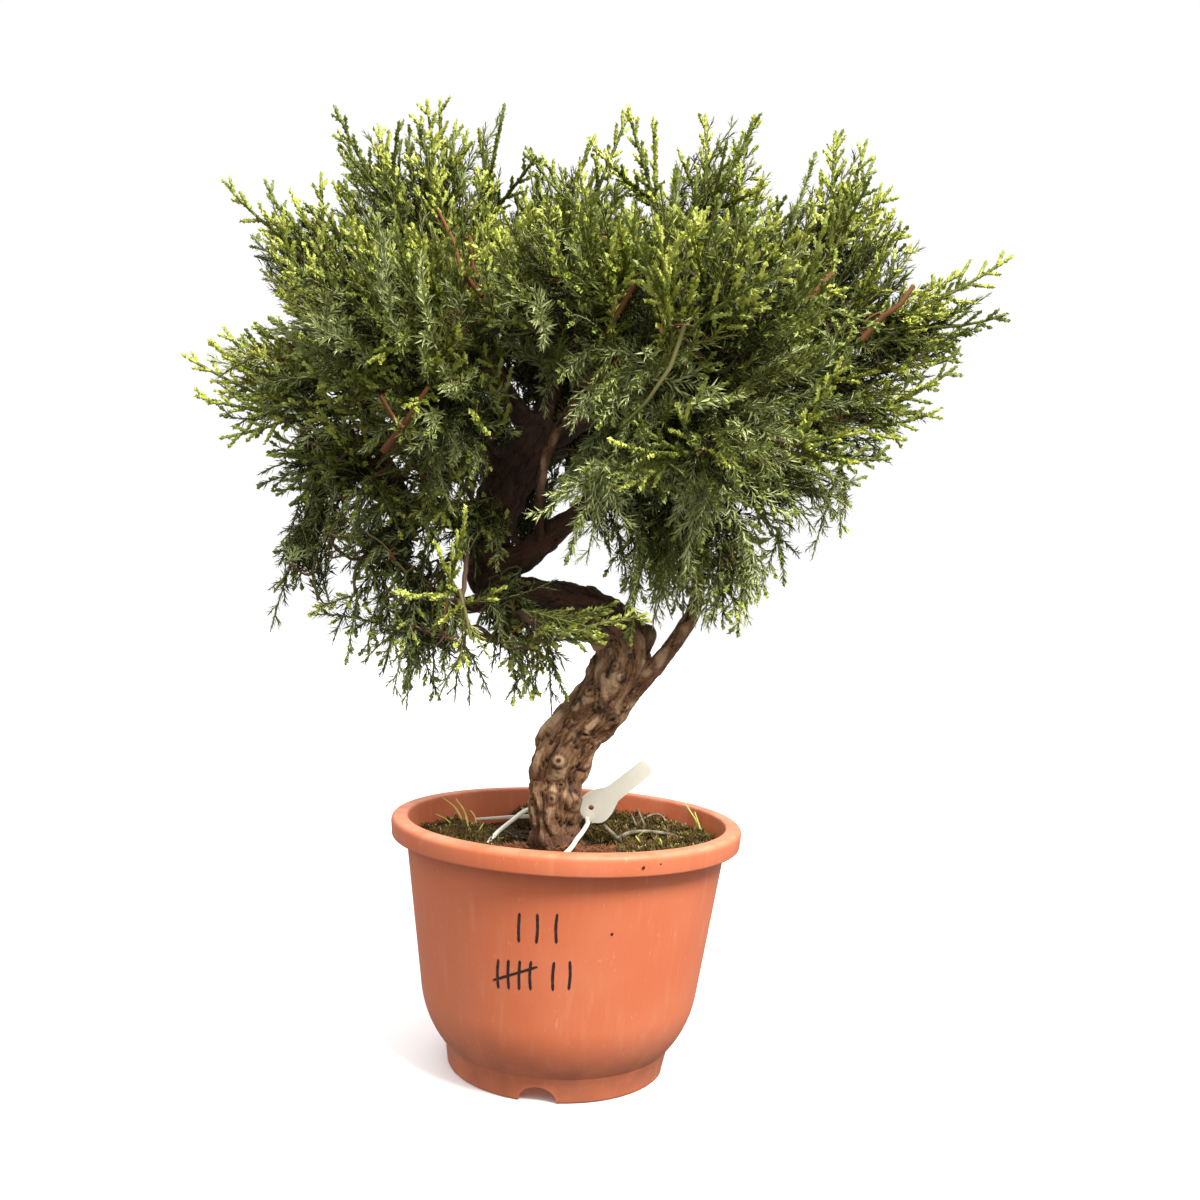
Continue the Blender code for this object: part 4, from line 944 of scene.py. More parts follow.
def grow_twigs(root, heading, feet):
    """Twigs that grow from the root, a step at a time, towards the fronds' feet that are still unreached."""
    nodes, parents, headings = [root], [-1], [heading]
    waiting = list(range(len(feet)))
    joined = {}
    spots = np.array(feet)
    for _ in range(120):
        if not waiting:
            break
        grown = np.array(nodes)
        apart = np.linalg.norm(spots[waiting][:, None] - grown[None], axis=2)
        nearest = np.argmin(apart, axis=1)
        close = apart[np.arange(len(waiting)), nearest] < TWIG_STEP * 1.2
        pulls = {}
        for place, (foot, node) in enumerate(zip(waiting, nearest)):
            if close[place]:
                joined[foot] = int(node)
            else:
                pulls.setdefault(int(node), []).append((feet[foot] - nodes[node]).normalized())
        waiting = [foot for place, foot in enumerate(waiting) if not close[place]]
        for node, ways in pulls.items():
            stray = Vector((grower.gauss(0, 1), grower.gauss(0, 1), grower.gauss(0, 1))) * TWIG_WANDER
            way = (sum(ways, Vector()) / len(ways) + headings[node] * 0.5 + stray).normalized()
            nodes.append(nodes[node] + way * TWIG_STEP)
            parents.append(node)
            headings.append(way)
    for foot in waiting:
        joined[foot] = int(np.argmin(np.linalg.norm(np.array(nodes) - spots[foot], axis=1)))
    for foot, node in joined.items():
        nodes.append(feet[foot])
        parents.append(node)
    return nodes, parents


def deal_twigs(nodes, parents):
    """Split the grown tree into runs, each with the radius that carries what grows from it."""
    carried = [0.0] * len(nodes)
    children = [[] for _ in nodes]
    for node in reversed(range(1, len(nodes))):
        if not children[node]:
            carried[node] = TWIG_TIP_RADIUS**TWIG_JOIN_POWER
        carried[parents[node]] += carried[node]
        children[parents[node]].append(node)
    radii = [share ** (1 / TWIG_JOIN_POWER) for share in carried]
    starts = [(0, None)]
    while starts:
        node, bearer = starts.pop()
        run, thick = [], []
        if bearer is not None:
            run, thick = [nodes[bearer]], [radii[node]]
        while True:
            run.append(nodes[node])
            thick.append(radii[node])
            if not children[node]:
                break
            following = max(children[node], key=lambda child: carried[child])
            starts += [(child, node) for child in children[node] if child != following]
            node = following
        if len(run) > 1:
            kind = "brown" if thick[0] > 1.25 else ("rust" if grower.random() < 0.35 else "green")
            twigs.setdefault(kind, []).append((run, thick))


def nearest_mass(point):
    return min(masses.values(), key=lambda mass: (mass.middle - point).length)


def grow_mass(name):
    """Every frond of a mass, and the twigs that bear them. Returns how many fronds there are."""
    mass = masses[name]
    others = [other for key, other in masses.items() if key != name]
    feet = []
    for manner, start, end in placed_fronds:
        if nearest_mass(start) is mass:
            grow_frond(start, end, manner)
            feet.append(start)
    feet += [frond_into(mass, end, "filling", others) for end in notches if nearest_mass(end) is mass]
    ends = mass.ends()
    feet += [frond_into(mass, end, "leader", others) for end in mass.leaders() if end.y > 0]
    feet += [frond_into(mass, end, "outer", others) for end in ends]
    for end in grower.sample(ends, round(len(ends) * INNER_SHARE)):
        feet.append(frond_into(mass, mass.middle.lerp(end, grower.uniform(*INNER_REACH)), "inner", []))
    feet = [foot for foot in feet if foot is not None]
    deal_twigs(*grow_twigs(mass.root, mass.root_way, feet))
    return len(feet)


placed_fronds = []
for manner, foot, reaches in FANS:
    for reach in reaches:
        start = Vector(foot) + scatter(2.5)
        placed_fronds.append((manner, start, Vector(foot) + Vector(reach)))
for manner, count, middle, spread, reach in CURTAINS:
    for _ in range(count):
        foot = Vector(grower.uniform(place - half, place + half) for place, half in zip(middle, spread))
        way = Vector(reach) * grower.uniform(0.75, 1.15)
        placed_fronds.append((manner, foot, foot + way + scatter(0.13 * way.length)))
for kind, runs in FACE_TWIGS.items():
    for run in runs:
        twigs.setdefault(kind, []).append(([Vector(row[:3]) for row in run], [row[3] for row in run]))
notches = notch_ends()
frond_count = sum(grow_mass(name) for name in masses)

# ---------------------------------------------------------------- foliage: needles, tips and twigs
# Needles are thin folded awls in a spiral up each shoot, and the growing tips are cords of short blunt
# scales. Both are set along the shoots by one geometry tree. Each spray keeps one plain tint.

NEEDLE_WIDTH = 0.178  # as a share of its length
NEEDLE_SPACING = 0.88
SCALE_WIDTH = 0.9
SCALE_SPACING = 0.78
LEAF_TURN = math.radians(137.5)
LEAF_SEED = 3
MOST_LEAVES = 98000
NEEDLE_TINTS = {
    # Painted shade: the darkest green, for inner sprays and a share of the green and hanging ones.
    "deep": (0.026, 0.034, 0.004),
    "mid": (0.115, 0.142, 0.018),
    "olive": (0.190, 0.205, 0.028),
    "light": (0.480, 0.530, 0.135),
    "grey": (0.285, 0.330, 0.125),
    # Partly painted light: a soft grey-green, made paler to lift the shaded lower sprays.
    "soft": (0.480, 0.530, 0.215),
    # Painted light: a paler copy of the soft green for the shaded lower right sprays.
    "veil": (0.640, 0.700, 0.300),
    "dead": (0.200, 0.085, 0.035),
}
SCALE_TINTS = {
    "cord": (0.100, 0.122, 0.015),
    "fresh": (0.190, 0.218, 0.031),
    "bright": (0.50, 0.53, 0.105),
    "pale": (0.25, 0.29, 0.062),
}
STEM_TINTS = {"green": (0.165, 0.165, 0.050), "fresh": (0.150, 0.175, 0.026), "tip": (0.46, 0.49, 0.095)}
TWIG_TINTS = {"brown": (0.105, 0.060, 0.036), "rust": (0.190, 0.070, 0.028), "green": (0.15, 0.135, 0.045)}


def leaf_object(name, width, fold):
    """One leaf of unit length: two triangles folded along the middle."""
    points = [(0, 0, 0), (width / 2, fold, 0.4), (0, 0, 1), (-width / 2, fold, 0.4)]
    mesh = bpy.data.meshes.new(name)
    mesh.from_pydata(points, [], [(0, 1, 2), (0, 2, 3)])
    leaf = bpy.data.objects.new(name, mesh)
    bpy.context.scene.collection.objects.link(leaf)
    return leaf


def curves_object(name, runs, attributes):
    """Curves in metres from runs of points, each run with one list of values for every attribute."""
    curves = bpy.data.hair_curves.new(name)
    curves.add_curves([len(run[0]) for run in runs])
    points = np.array([point for run in runs for point in run[0]], np.float32)
    points = (points + np.array(POT_AXIS, np.float32)) * MM
    curves.points.foreach_set("position", points.ravel())
    for place, attribute in enumerate(attributes, 1):
        values = np.array([value for run in runs for value in run[place]], np.float32)
        curves.attributes.new(attribute, "FLOAT", "POINT").data.foreach_set("value", values)
    holder = bpy.data.objects.new(name, curves)
    bpy.context.scene.collection.objects.link(holder)
    return holder


class Tree(Nodes):
    """A geometry tree with named inputs."""

    def __init__(self, name, inputs):
        super().__init__(bpy.data.node_groups.new(name, "GeometryNodeTree"))
        for label, kind in inputs.items():
            self.tree.interface.new_socket(label, in_out="INPUT", socket_type="NodeSocket" + kind)
        self.tree.interface.new_socket("Geometry", in_out="OUTPUT", socket_type="NodeSocketGeometry")
        self.inputs = self.tree.nodes.new("NodeGroupInput")
        self.result = self.tree.nodes.new("NodeGroupOutput")

    def given(self, label):
        return Value(self, self.inputs.outputs[label])

    def vector(self, operation, *values):
        return self.add("ShaderNodeVectorMath", {"operation": operation}, dict(enumerate(values)))

    def scaled(self, vector, factor):
        return self.add("ShaderNodeVectorMath", {"operation": "SCALE"}, {0: vector, "Scale": factor})

    def stored(self, attribute):
        return self.add("GeometryNodeInputNamedAttribute", {"data_type": "FLOAT"}, {"Name": attribute})

    def straight_runs(self, label):
        """The curves of an object, straight from point to point."""
        return self.add("GeometryNodeCurveSplineType", {"spline_type": "POLY"}, {"Curve": self.from_object(label)})

    def from_object(self, label):
        return self.add("GeometryNodeObjectInfo", inputs={"Object": self.given(label)}, output="Geometry")

    def finish(self, geometry):
        """Make the instances real, give them the material and send them out."""
        real = self.add("GeometryNodeRealizeInstances", inputs={"Geometry": geometry})
        coated = self.add("GeometryNodeSetMaterial", inputs={"Geometry": real, "Material": self.given("Finish")})
        self.feed(self.result.inputs["Geometry"], coated)

    def run(self, name, **values):
        """The mesh that the tree makes from these inputs."""
        host = bpy.data.objects.new(name, bpy.data.meshes.new(name))
        bpy.context.scene.collection.objects.link(host)
        modifier = host.modifiers.new(name, "NODES")
        modifier.node_group = self.tree
        for item in self.tree.interface.items_tree:
            if item.in_out == "INPUT":
                modifier[item.identifier] = values[item.name.replace(" ", "_").lower()]
        apply_modifiers(host)
        return host


def leaf_tree():
    """Leaves in a spiral along shoots, each leaning out from its stem by the shoot's own tilt."""
    tree = Tree("leaves_on_shoots", {
        "Shoots": "Object", "Leaf": "Object", "Spacing": "Float", "Turn": "Float", "Seed": "Int", "Finish": "Material",
    })
    stems = tree.add("GeometryNodeResampleCurve", {"mode": "LENGTH"},
                     {"Curve": tree.straight_runs("Shoots"), "Length": tree.given("Spacing")})
    index = tree.add("GeometryNodeInputIndex")
    chance = tree.add("FunctionNodeRandomValue", {"data_type": "FLOAT"},
                      {2: -1.0, 3: 1.0, "ID": index, "Seed": tree.given("Seed")}, output=1)
    tangent = tree.add("GeometryNodeInputTangent")
    normal = tree.add("GeometryNodeInputNormal")
    turn = index * tree.given("Turn") + chance * 0.35
    out = tree.vector("ADD", tree.scaled(normal, turn.maths("COSINE", turn)),
                      tree.scaled(tree.vector("CROSS_PRODUCT", tangent, normal), turn.maths("SINE", turn)))
    tilt = tree.stored("tilt") + chance * 0.16
    way = tree.vector("ADD", tree.scaled(tangent, tilt.maths("COSINE", tilt)),
                      tree.scaled(out, tilt.maths("SINE", tilt)))
    side = tree.vector("CROSS_PRODUCT", tangent, out)
    turned_leaf = tree.add("FunctionNodeAxesToRotation", {"primary_axis": "Z", "secondary_axis": "X"},
                           {"Primary Axis": way, "Secondary Axis": side})
    size = tree.stored("leaf") * (1 + chance * 0.18) * MM
    placed = tree.add("GeometryNodeInstanceOnPoints", inputs={
        "Points": stems, "Instance": tree.from_object("Leaf"), "Rotation": turned_leaf,
        "Scale": tree.add("ShaderNodeCombineXYZ", inputs={0: size, 1: size, 2: size}),
    })
    tree.finish(placed)
    return tree


def stem_tree():
    """Round stems along curves, with the radius stored on them."""
    tree = Tree("stems", {"Runs": "Object", "Sides": "Int", "Finish": "Material"})
    ring = tree.add("GeometryNodeCurvePrimitiveCircle", inputs={"Resolution": tree.given("Sides"), "Radius": MM})
    stems = tree.add("GeometryNodeCurveToMesh", inputs={
        "Curve": tree.straight_runs("Runs"), "Profile Curve": ring, "Scale": tree.stored("radius"), "Fill Caps": True,
    })
    tree.finish(stems)
    return tree


def in_parts(runs, most, weigh):
    """The runs in order, in parts that each weigh no more than most."""
    parts, weight = [[]], 0
    for run in runs:
        share = weigh(run)
        if weight + share > most:
            parts.append([])
            weight = 0
        parts[-1].append(run)
        weight += share
    return parts


def keep_piece(piece, replaced):
    if replaced:
        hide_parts(*replaced)
    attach(piece, "root")


leaves_on_shoots = leaf_tree()
stems_along = stem_tree()
awl = leaf_object("awl_needle", NEEDLE_WIDTH, NEEDLE_WIDTH * 0.28)
scale_leaf = leaf_object("scale_leaf", SCALE_WIDTH, SCALE_WIDTH * 0.35)
unreplaced = list(masses)


def run_length(points):
    return sum((b - a).length for a, b in zip(points, points[1:]))


for tint, colour in {**NEEDLE_TINTS, **SCALE_TINTS}.items():
    blunt = tint in SCALE_TINTS
    spacing = SCALE_SPACING if blunt else NEEDLE_SPACING
    leaf_finish = Finish(f"foliage_{tint}", colour, 0.45, Specular_IOR_Level=0.3)
    parts = in_parts(shoots[tint], MOST_LEAVES, lambda run: 2 + run_length(run[0]) / spacing)
    for part, runs in enumerate(parts):
        source = curves_object(f"shoots_{tint}_{part}", runs, ("leaf", "tilt"))
        piece = leaves_on_shoots.run(
            f"{'scales' if blunt else 'needles'}_{tint}_{part}", shoots=source, leaf=scale_leaf if blunt else awl,
            spacing=spacing * MM, turn=LEAF_TURN, seed=LEAF_SEED, finish=leaf_finish.material)
        keep_piece(piece, unreplaced)
        unreplaced = []
        bpy.data.objects.remove(source)

for colour, runs_of_colour in stems.items():
    stem_finish = Finish(f"{colour}_stems", STEM_TINTS[colour], 0.6, Specular_IOR_Level=0.3)
    for part, runs in enumerate(in_parts(runs_of_colour, 190000, lambda run: 6 * len(run[0]) - 4)):
        source = curves_object(f"stem_runs_{colour}_{part}", runs, ("radius",))
        piece = stems_along.run(f"{colour}_stems_{part}", runs=source, sides=3, finish=stem_finish.material)
        keep_piece(piece, [])
        bpy.data.objects.remove(source)
for kind, runs in twigs.items():
    twig_finish = Finish(f"twigs_{kind}", TWIG_TINTS[kind], 0.8, Specular_IOR_Level=0.25)
    source = curves_object(f"twig_runs_{kind}", runs, ("radius",))
    piece = stems_along.run(f"twigs_{kind}", runs=source, sides=5, finish=twig_finish.material)
    keep_piece(piece, [])
    bpy.data.objects.remove(source)
bpy.data.objects.remove(awl)
bpy.data.objects.remove(scale_leaf)

# ---------------------------------------------------------------- soil, moss and litter
# Dark, lumpy potting soil, with crumbs of it lying loose. Moss grows over it at the right and back,
# and lower at the left. Bark chips, fallen sprigs, a dead twig and a few weeds lie and stand on it.

SOIL_TOP = 118.4
SOIL_REACH = wall_radius(SOIL_TOP) - POT_WALL - 0.3
SOIL_BOTTOM = 112.0
SOIL_SIDES = 200
SPRIG_TINT = (0.31, 0.120, 0.045)
SPRIG_LEAF = 3.8
SPRIGS = (  # x, y, height over the soil, the way each points in degrees, and its length
    (-6, -18, 6, 15, 14), (2, -19, 8, -20, 15), (8, -17, 5, 20, 15), (14, -13, 7, -35, 14), (17, -7, 4, 25, 15),
    (20, 0, 3, -10, 16), (24, -6, 3, 50, 13), (-20, -12, 5, 165, 13), (-24, -4, 3, 190, 15), (-44, 4, 2, 150, 14),
    (-60, 22, 2, 100, 13), (-84, 8, 6, 20, 18), (-82, 16, 6, -15, 17), (-76, 2, 5, 45, 16), (-70, 10, 5, -30, 16),
    (34, 14, 4, 60, 13), (50, -30, 2, -40, 14), (-40, -40, 2, 210, 14), (10, -44, 2, 10, 15),
)
SOIL_DARK = (0.018, 0.010, 0.005)
SOIL_BROWN = (0.185, 0.108, 0.052)
MOSS_FIELDS = {  # azimuths in degrees, radii, rise at the wall and at the trunk
    "moss_right": (-56, 118, 27, 86.5, 6.5, 1.4),
    "moss_left": (142, 230, 36, 86.5, 3.8, 1.2),
}
MOSS_DARK = (0.017, 0.013, 0.004)
MOSS_TINTS = {
    "olive": (0.138, 0.100, 0.017), "green": (0.078, 0.066, 0.014), "brown": (0.158, 0.088, 0.032),
    "straw": (0.40, 0.33, 0.12),
}
MOSS_SHOOTS = {"olive": 0.066, "green": 0.060, "brown": 0.056, "straw": 0.015}  # for each square millimetre
CRUMBS = 0.07  # for each square millimetre
CHIP_HEAPS = ((-74, 34, 15, 26), (-4, -24, 13, 16), (12, 16, 12, 10), (-40, 20, 30, 14), (30, -20, 30, 12))
CHIP_COLOUR = (0.16, 0.060, 0.030)
LITTER_SEED = 21


def soil_height(x, y):
    place = Vector((x, y, 3))
    lumps = 1.5 * noise.noise(place / 13) + 0.9 * noise.noise(place / 4.6) + 0.5 * noise.noise(place / 1.8)
    return SOIL_TOP + 0.6 + lumps


def moss_rise(field, x, y):
    """How far the moss stands above the soil: cushions inside its field, and below the soil at its edge."""
    first, last, near, far, at_wall, at_trunk = MOSS_FIELDS[field]
    azimuth = math.degrees(math.atan2(y, x))
    azimuth += 360 if azimuth < first else 0
    radius = math.hypot(x, y)
    place = Vector((x, y, 0))
    ragged = 5 * noise.noise(place / 9)
    inside = min((azimuth - first) * radius / 57, (last - azimuth) * radius / 57, radius - near, 300) + ragged
    edge = min(1, max(0, inside / 9))
    rise = at_trunk + (at_wall - at_trunk) * min(1, max(0, (radius - near) / (far - near)))
    apart = noise.voronoi(place / 6.4 + 0.5 * noise.noise_vector(place / 5))[0]
    cushion = 1 - (apart[0] / 0.75) ** 2
    return edge * (rise + 2.4 * cushion + 0.9 * noise.noise(place / 1.6)) - 2.2 * (1 - edge)


def soil_bed():
    rings = [SOIL_REACH * step / 66 for step in range(66, 0, -1)]
    profile = [(0, SOIL_BOTTOM), (SOIL_REACH, SOIL_BOTTOM)] + [(ring, SOIL_TOP) for ring in rings] + [(0, SOIL_TOP)]
    mesh = turned("soil_bed", profile, SOIL_SIDES)
    for vert in mesh.vertices:
        if vert.co.z > SOIL_BOTTOM + 1:
            vert.co.z = soil_height(vert.co.x, vert.co.y)
    return mesh


def moss_bed(field):
    """A closed slab whose top follows the cushions of one field of moss."""
    first, last, near, far, _, _ = MOSS_FIELDS[field]
    across = round((far - near) / 0.95)
    round_it = round(math.radians(last - first) * (near + far) / 2 / 1.15)
    bm = bmesh.new()
    rows = []
    for step in range(across + 1):
        radius = near + (far - near) * step / across
        row = []
        for turn in range(round_it + 1):
            angle = math.radians(first + (last - first) * turn / round_it)
            x, y = radius * math.cos(angle), radius * math.sin(angle)
            row.append(bm.verts.new((x, y, soil_height(x, y) + moss_rise(field, x, y))))
        rows.append(row)
    for lower, upper in zip(rows, rows[1:]):
        for turn in range(round_it):
            bm.faces.new((lower[turn], upper[turn], upper[turn + 1], lower[turn + 1]))
    rim = rows[0] + [row[-1] for row in rows[1:]] + rows[-1][-2::-1] + [row[0] for row in rows[-2:0:-1]]
    base = [bm.verts.new((vert.co.x, vert.co.y, SOIL_BOTTOM)) for vert in rim]
    for place, vert in enumerate(rim):
        bm.faces.new((rim[place - 1], vert, base[place], base[place - 1]))
    bm.faces.new(reversed(base))
    bmesh.ops.recalc_face_normals(bm, faces=bm.faces)
    mesh = bpy.data.meshes.new(field)
    bm.to_mesh(mesh)
    bm.free()
    return mesh


def scatter_tree():
    """Copies of one shape standing on the upward faces of a bed, above a given height."""
    tree = Tree("scattered_on_bed", {
        "Bed": "Object", "Shape": "Object", "Density": "Float", "Least": "Float", "Most": "Float",
        "Lean": "Float", "Above": "Float", "Seed": "Int", "Finish": "Material",
    })
    spot = tree.add("GeometryNodeInputPosition")
    height = tree.add("ShaderNodeSeparateXYZ", inputs={0: spot}, output=2)
    facing = tree.add("ShaderNodeSeparateXYZ", inputs={0: tree.add("GeometryNodeInputNormal")}, output=2)
    open_to_sky = tree.add("FunctionNodeCompare", {"data_type": "FLOAT"}, {0: facing, 1: 0.2})
    high = tree.add("FunctionNodeCompare", {"data_type": "FLOAT"}, {0: height, 1: tree.given("Above")})
    chosen = tree.add("FunctionNodeBooleanMath", {"operation": "AND"}, {0: open_to_sky, 1: high})
    points = tree.add("GeometryNodeDistributePointsOnFaces", inputs={
        "Mesh": tree.from_object("Bed"), "Selection": chosen, "Density": tree.given("Density"),
        "Seed": tree.given("Seed"),
    })
    lean = tree.given("Lean")
    leaning = tree.add("FunctionNodeRandomValue", {"data_type": "FLOAT_VECTOR"}, {
        0: tree.add("ShaderNodeCombineXYZ", inputs={0: lean * -1, 1: lean * -1, 2: 0.0}),
        1: tree.add("ShaderNodeCombineXYZ", inputs={0: lean, 1: lean, 2: 6.283}),
        "Seed": tree.given("Seed"),
    })
    size = tree.add("FunctionNodeRandomValue", {"data_type": "FLOAT"},
                    {2: tree.given("Least"), 3: tree.given("Most"), "Seed": tree.given("Seed") + 5}, output=1)
    placed = tree.add("GeometryNodeInstanceOnPoints", inputs={
        "Points": points, "Instance": tree.from_object("Shape"), "Rotation": leaning,
        "Scale": tree.add("ShaderNodeCombineXYZ", inputs={0: size, 1: size, 2: size}),
    })
    tree.finish(placed)
    return tree


def moss_shoot():
    """A star of six thin leaves round a short upright stem, of unit height."""
    bm = bmesh.new()
    for step in range(6):
        angle = 2.4 * step
        out = Vector((math.cos(angle), math.sin(angle), 0))
        side = Vector((-math.sin(angle), math.cos(angle), 0)) * 0.1
        foot = Vector((0, 0, 0.1 + 0.1 * step))
        tip = foot + out * (0.62 - 0.06 * step) + Vector((0, 0, 0.42))
        middle = foot.lerp(tip, 0.45) + Vector((0, 0, 0.06))
        spots = [bm.verts.new(spot) for spot in (foot, middle + side, tip, middle - side)]
        bm.faces.new(spots[:3])
        bm.faces.new((spots[0], spots[2], spots[3]))
    return shape_object("moss_shoot", bm)


def crumb():
    bm = bmesh.new()
    bmesh.ops.create_icosphere(bm, subdivisions=1, radius=0.5)
    for vert in bm.verts:
        vert.co *= 1 + 0.5 * noise.noise(vert.co * 3.1)
    return shape_object("crumb", bm)


def shape_object(name, bm):
    mesh = bpy.data.meshes.new(name)
    bm.to_mesh(mesh)
    bm.free()
    made = bpy.data.objects.new(name, mesh)
    bpy.context.scene.collection.objects.link(made)
    return made


def bark_chips(pick):
    """Flat splinters of bark that lie in heaps on the soil."""
    bm = bmesh.new()
    for x, y, spread, count in CHIP_HEAPS:
        for _ in range(count):
            place = Vector((pick.gauss(x, spread / 2), pick.gauss(y, spread / 2), 0))
            if not 24 < place.length < SOIL_REACH - 6:
                continue
            place.z = soil_height(place.x, place.y) + 1.0
            size = Matrix.Diagonal((pick.uniform(3, 8.5), pick.uniform(1.2, 3.2), pick.uniform(0.5, 1.1), 1))
            turn = Matrix.Rotation(pick.uniform(0, 6.28), 4, "Z") @ Matrix.Rotation(pick.gauss(0, 0.22), 4, "Y")
            lie = Matrix.Translation(place) @ turn @ Matrix.Rotation(pick.gauss(0, 0.25), 4, "X") @ size
            chip = bmesh.ops.create_cube(bm, size=1.0, matrix=lie)["verts"]
            for vert in chip:
                vert.co += noise.noise_vector(vert.co * 0.9) * 0.7
    mesh = bpy.data.meshes.new("bark_chips")
    bm.to_mesh(mesh)
    bm.free()
    return mesh


def thin_stalks(name, stalks, sides):
    """Round stalks: each a row of (x, y, height over the soil), with the radius at its foot and at its tip."""
    bm = bmesh.new()
    for points, foot_radius, tip_radius in stalks:
        level = soil_height(*points[0][:2])
        route = smooth_route([(x, y, level + rise, 1) for x, y, rise in points], 2.0)
        add_tube(bm, route[:, :3], np.linspace(foot_radius, tip_radius, len(route)), sides)
    bmesh.ops.recalc_face_normals(bm, faces=bm.faces)
    mesh = bpy.data.meshes.new(name)
    bm.to_mesh(mesh)
    bm.free()
    return mesh


litter = random.Random(LITTER_SEED)
earth = Finish("soil", SOIL_BROWN, 0.95, Specular_IOR_Level=0.2)
grit = earth.speckle(900, 6).between(0.35, 0.7)
damp = earth.speckle(60, 4).between(0.35, 0.7)
earth.set("Base Color", earth.blend(grit * (0.4 + 0.6 * damp), SOIL_DARK, SOIL_BROWN))
earth.bump(earth.speckle(1400, 6), 0.0007)
bed = as_piece("soil_bed", soil_bed(), earth, smooth=180)
keep_piece(bed, ["soil"])

on_bed = scatter_tree()
crumb_shape = crumb()
crumbs = on_bed.run("soil_crumbs", bed=bed, shape=crumb_shape, density=CRUMBS * 1e6, least=0.7 * MM, most=2.6 * MM,
                    lean=1.5, above=0.0, seed=4, finish=earth.material)
crumbs.data.shade_smooth()
keep_piece(crumbs, [])

star = moss_shoot()
cushion_finish = Finish("moss_cushion", MOSS_DARK, 0.95, Specular_IOR_Level=0.15)
tufts = cushion_finish.speckle(700, 5).between(0.4, 0.7)
cushion_finish.set("Base Color", cushion_finish.blend(tufts, MOSS_DARK, (0.055, 0.038, 0.013)))
cushion_finish.bump(cushion_finish.speckle(1500, 5), 0.0012)
for number, field in enumerate(MOSS_FIELDS):
    cushion = as_piece(field, moss_bed(field), cushion_finish, smooth=180)
    cushion.name = field + "_cushions"
    keep_piece(cushion, [field])
    for place, (tint, density) in enumerate(MOSS_SHOOTS.items()):
        tint_finish = Finish(f"moss_{tint}", MOSS_TINTS[tint], 0.7, Specular_IOR_Level=0.25)
        shoots_here = on_bed.run(
            f"{field}_{tint}_shoots", bed=cushion, shape=star, density=density * 1e6,
            least=2.6 * MM, most=5.6 * MM, lean=0.6,
            above=(SOIL_TOP + 0.8) * MM, seed=7 * number + place, finish=tint_finish.material)
        keep_piece(shoots_here, [])
for helper in (star, crumb_shape):
    bpy.data.objects.remove(helper)

chip_finish = Finish("bark_chips", CHIP_COLOUR, 0.85, Specular_IOR_Level=0.2)
chip_finish.set("Base Color", chip_finish.blend(
    chip_finish.speckle(300, 5, (1, 1, 1)).between(0.35, 0.7), CHIP_COLOUR, (0.055, 0.028, 0.018)))
chips = as_piece("bark_chips", bark_chips(litter), chip_finish)
keep_piece(chips, [])

sprig_runs = []
for x, y, rise, turn, length in SPRIGS:
    way = Vector((math.cos(math.radians(turn)), math.sin(math.radians(turn)), 0))
    aside = Vector((-way.y, way.x, 0))
    foot = Vector((x, y, SOIL_TOP + rise))
    tip = foot + way * length
    runs = [[foot, foot.lerp(tip, 0.5) + Vector((0, 0, 1.2)), tip]]
    for share, side in ((0.2, 1), (0.4, -1), (0.6, 1)):
        start = foot.lerp(tip, share) + Vector((0, 0, 0.8))
        runs.append([start, start + (way * 0.8 + aside * side * 0.6) * length * 0.35])
    sprig_runs += [(run, [SPRIG_LEAF] * len(run), [0.6] * len(run)) for run in runs]
sprig_leaf = leaf_object("sprig_needle", NEEDLE_WIDTH, NEEDLE_WIDTH * 0.28)
sprig_shoots = curves_object("sprig_shoots", sprig_runs, ("leaf", "tilt"))
fallen = leaves_on_shoots.run(
    "fallen_sprigs", shoots=sprig_shoots, leaf=sprig_leaf, spacing=0.6 * MM, turn=LEAF_TURN, seed=LEAF_SEED,
    finish=Finish("fallen_sprigs", SPRIG_TINT, 0.75, Specular_IOR_Level=0.25).material)
keep_piece(fallen, [])
for helper in (sprig_leaf, sprig_shoots):
    bpy.data.objects.remove(helper)

weeds = [
    (((-62, 38, 0), (-65, 38, 9), (-70, 40, 16), (-78, 42, 21)), 0.9, 0.25),
    (((-60, 40, 0), (-62, 43, 8), (-65, 46, 14), (-70, 50, 19)), 0.8, 0.25),
    (((-58, 36, 0), (-56, 38, 6), (-57, 40, 11), (-60, 42, 14)), 0.8, 0.25),
    (((-56, 24, 1), (-59, 24, 7), (-61, 24, 13)), 1.0, 0.3),
    (((-54, 22, 1), (-52, 22, 6), (-50, 23, 10)), 1.0, 0.3),
    (((-66, 30, 0), (-72, 32, 9), (-80, 32, 13)), 0.8, 0.3),
    (((84, 32, 3), (81, 32, 9), (77, 33, 16), (70, 34, 26)), 1.3, 0.4),
    (((82, 30, 3), (80, 30, 10), (76, 31, 21)), 1.2, 0.4),
    (((72, 28, 3), (78, 29, 7), (85, 30, 10)), 1.1, 0.4),
    (((48, 0, 1), (44, 0, 6), (40, 0, 11)), 1.3, 0.4),
    (((57, 0, 1), (56, 0, 6), (54, 0, 11)), 1.3, 0.4),
    (((59, 2, 1), (61, 2, 5), (65, 2, 8)), 1.1, 0.4),
    (((40, 20, 2), (42, 18, 8), (46, 16, 12)), 1.0, 0.3),
    (((-20, 62, 1), (-24, 62, 8), (-30, 64, 12)), 0.8, 0.3),
    (((20, 72, 5), (24, 72, 12), (30, 74, 17)), 0.8, 0.3),
]
weed_finish = Finish("weeds", (0.60, 0.60, 0.13), 0.55, Specular_IOR_Level=0.35)
weed_stalks = as_piece("weeds", thin_stalks("weeds", weeds, 5), weed_finish, smooth=60)
keep_piece(weed_stalks, [])
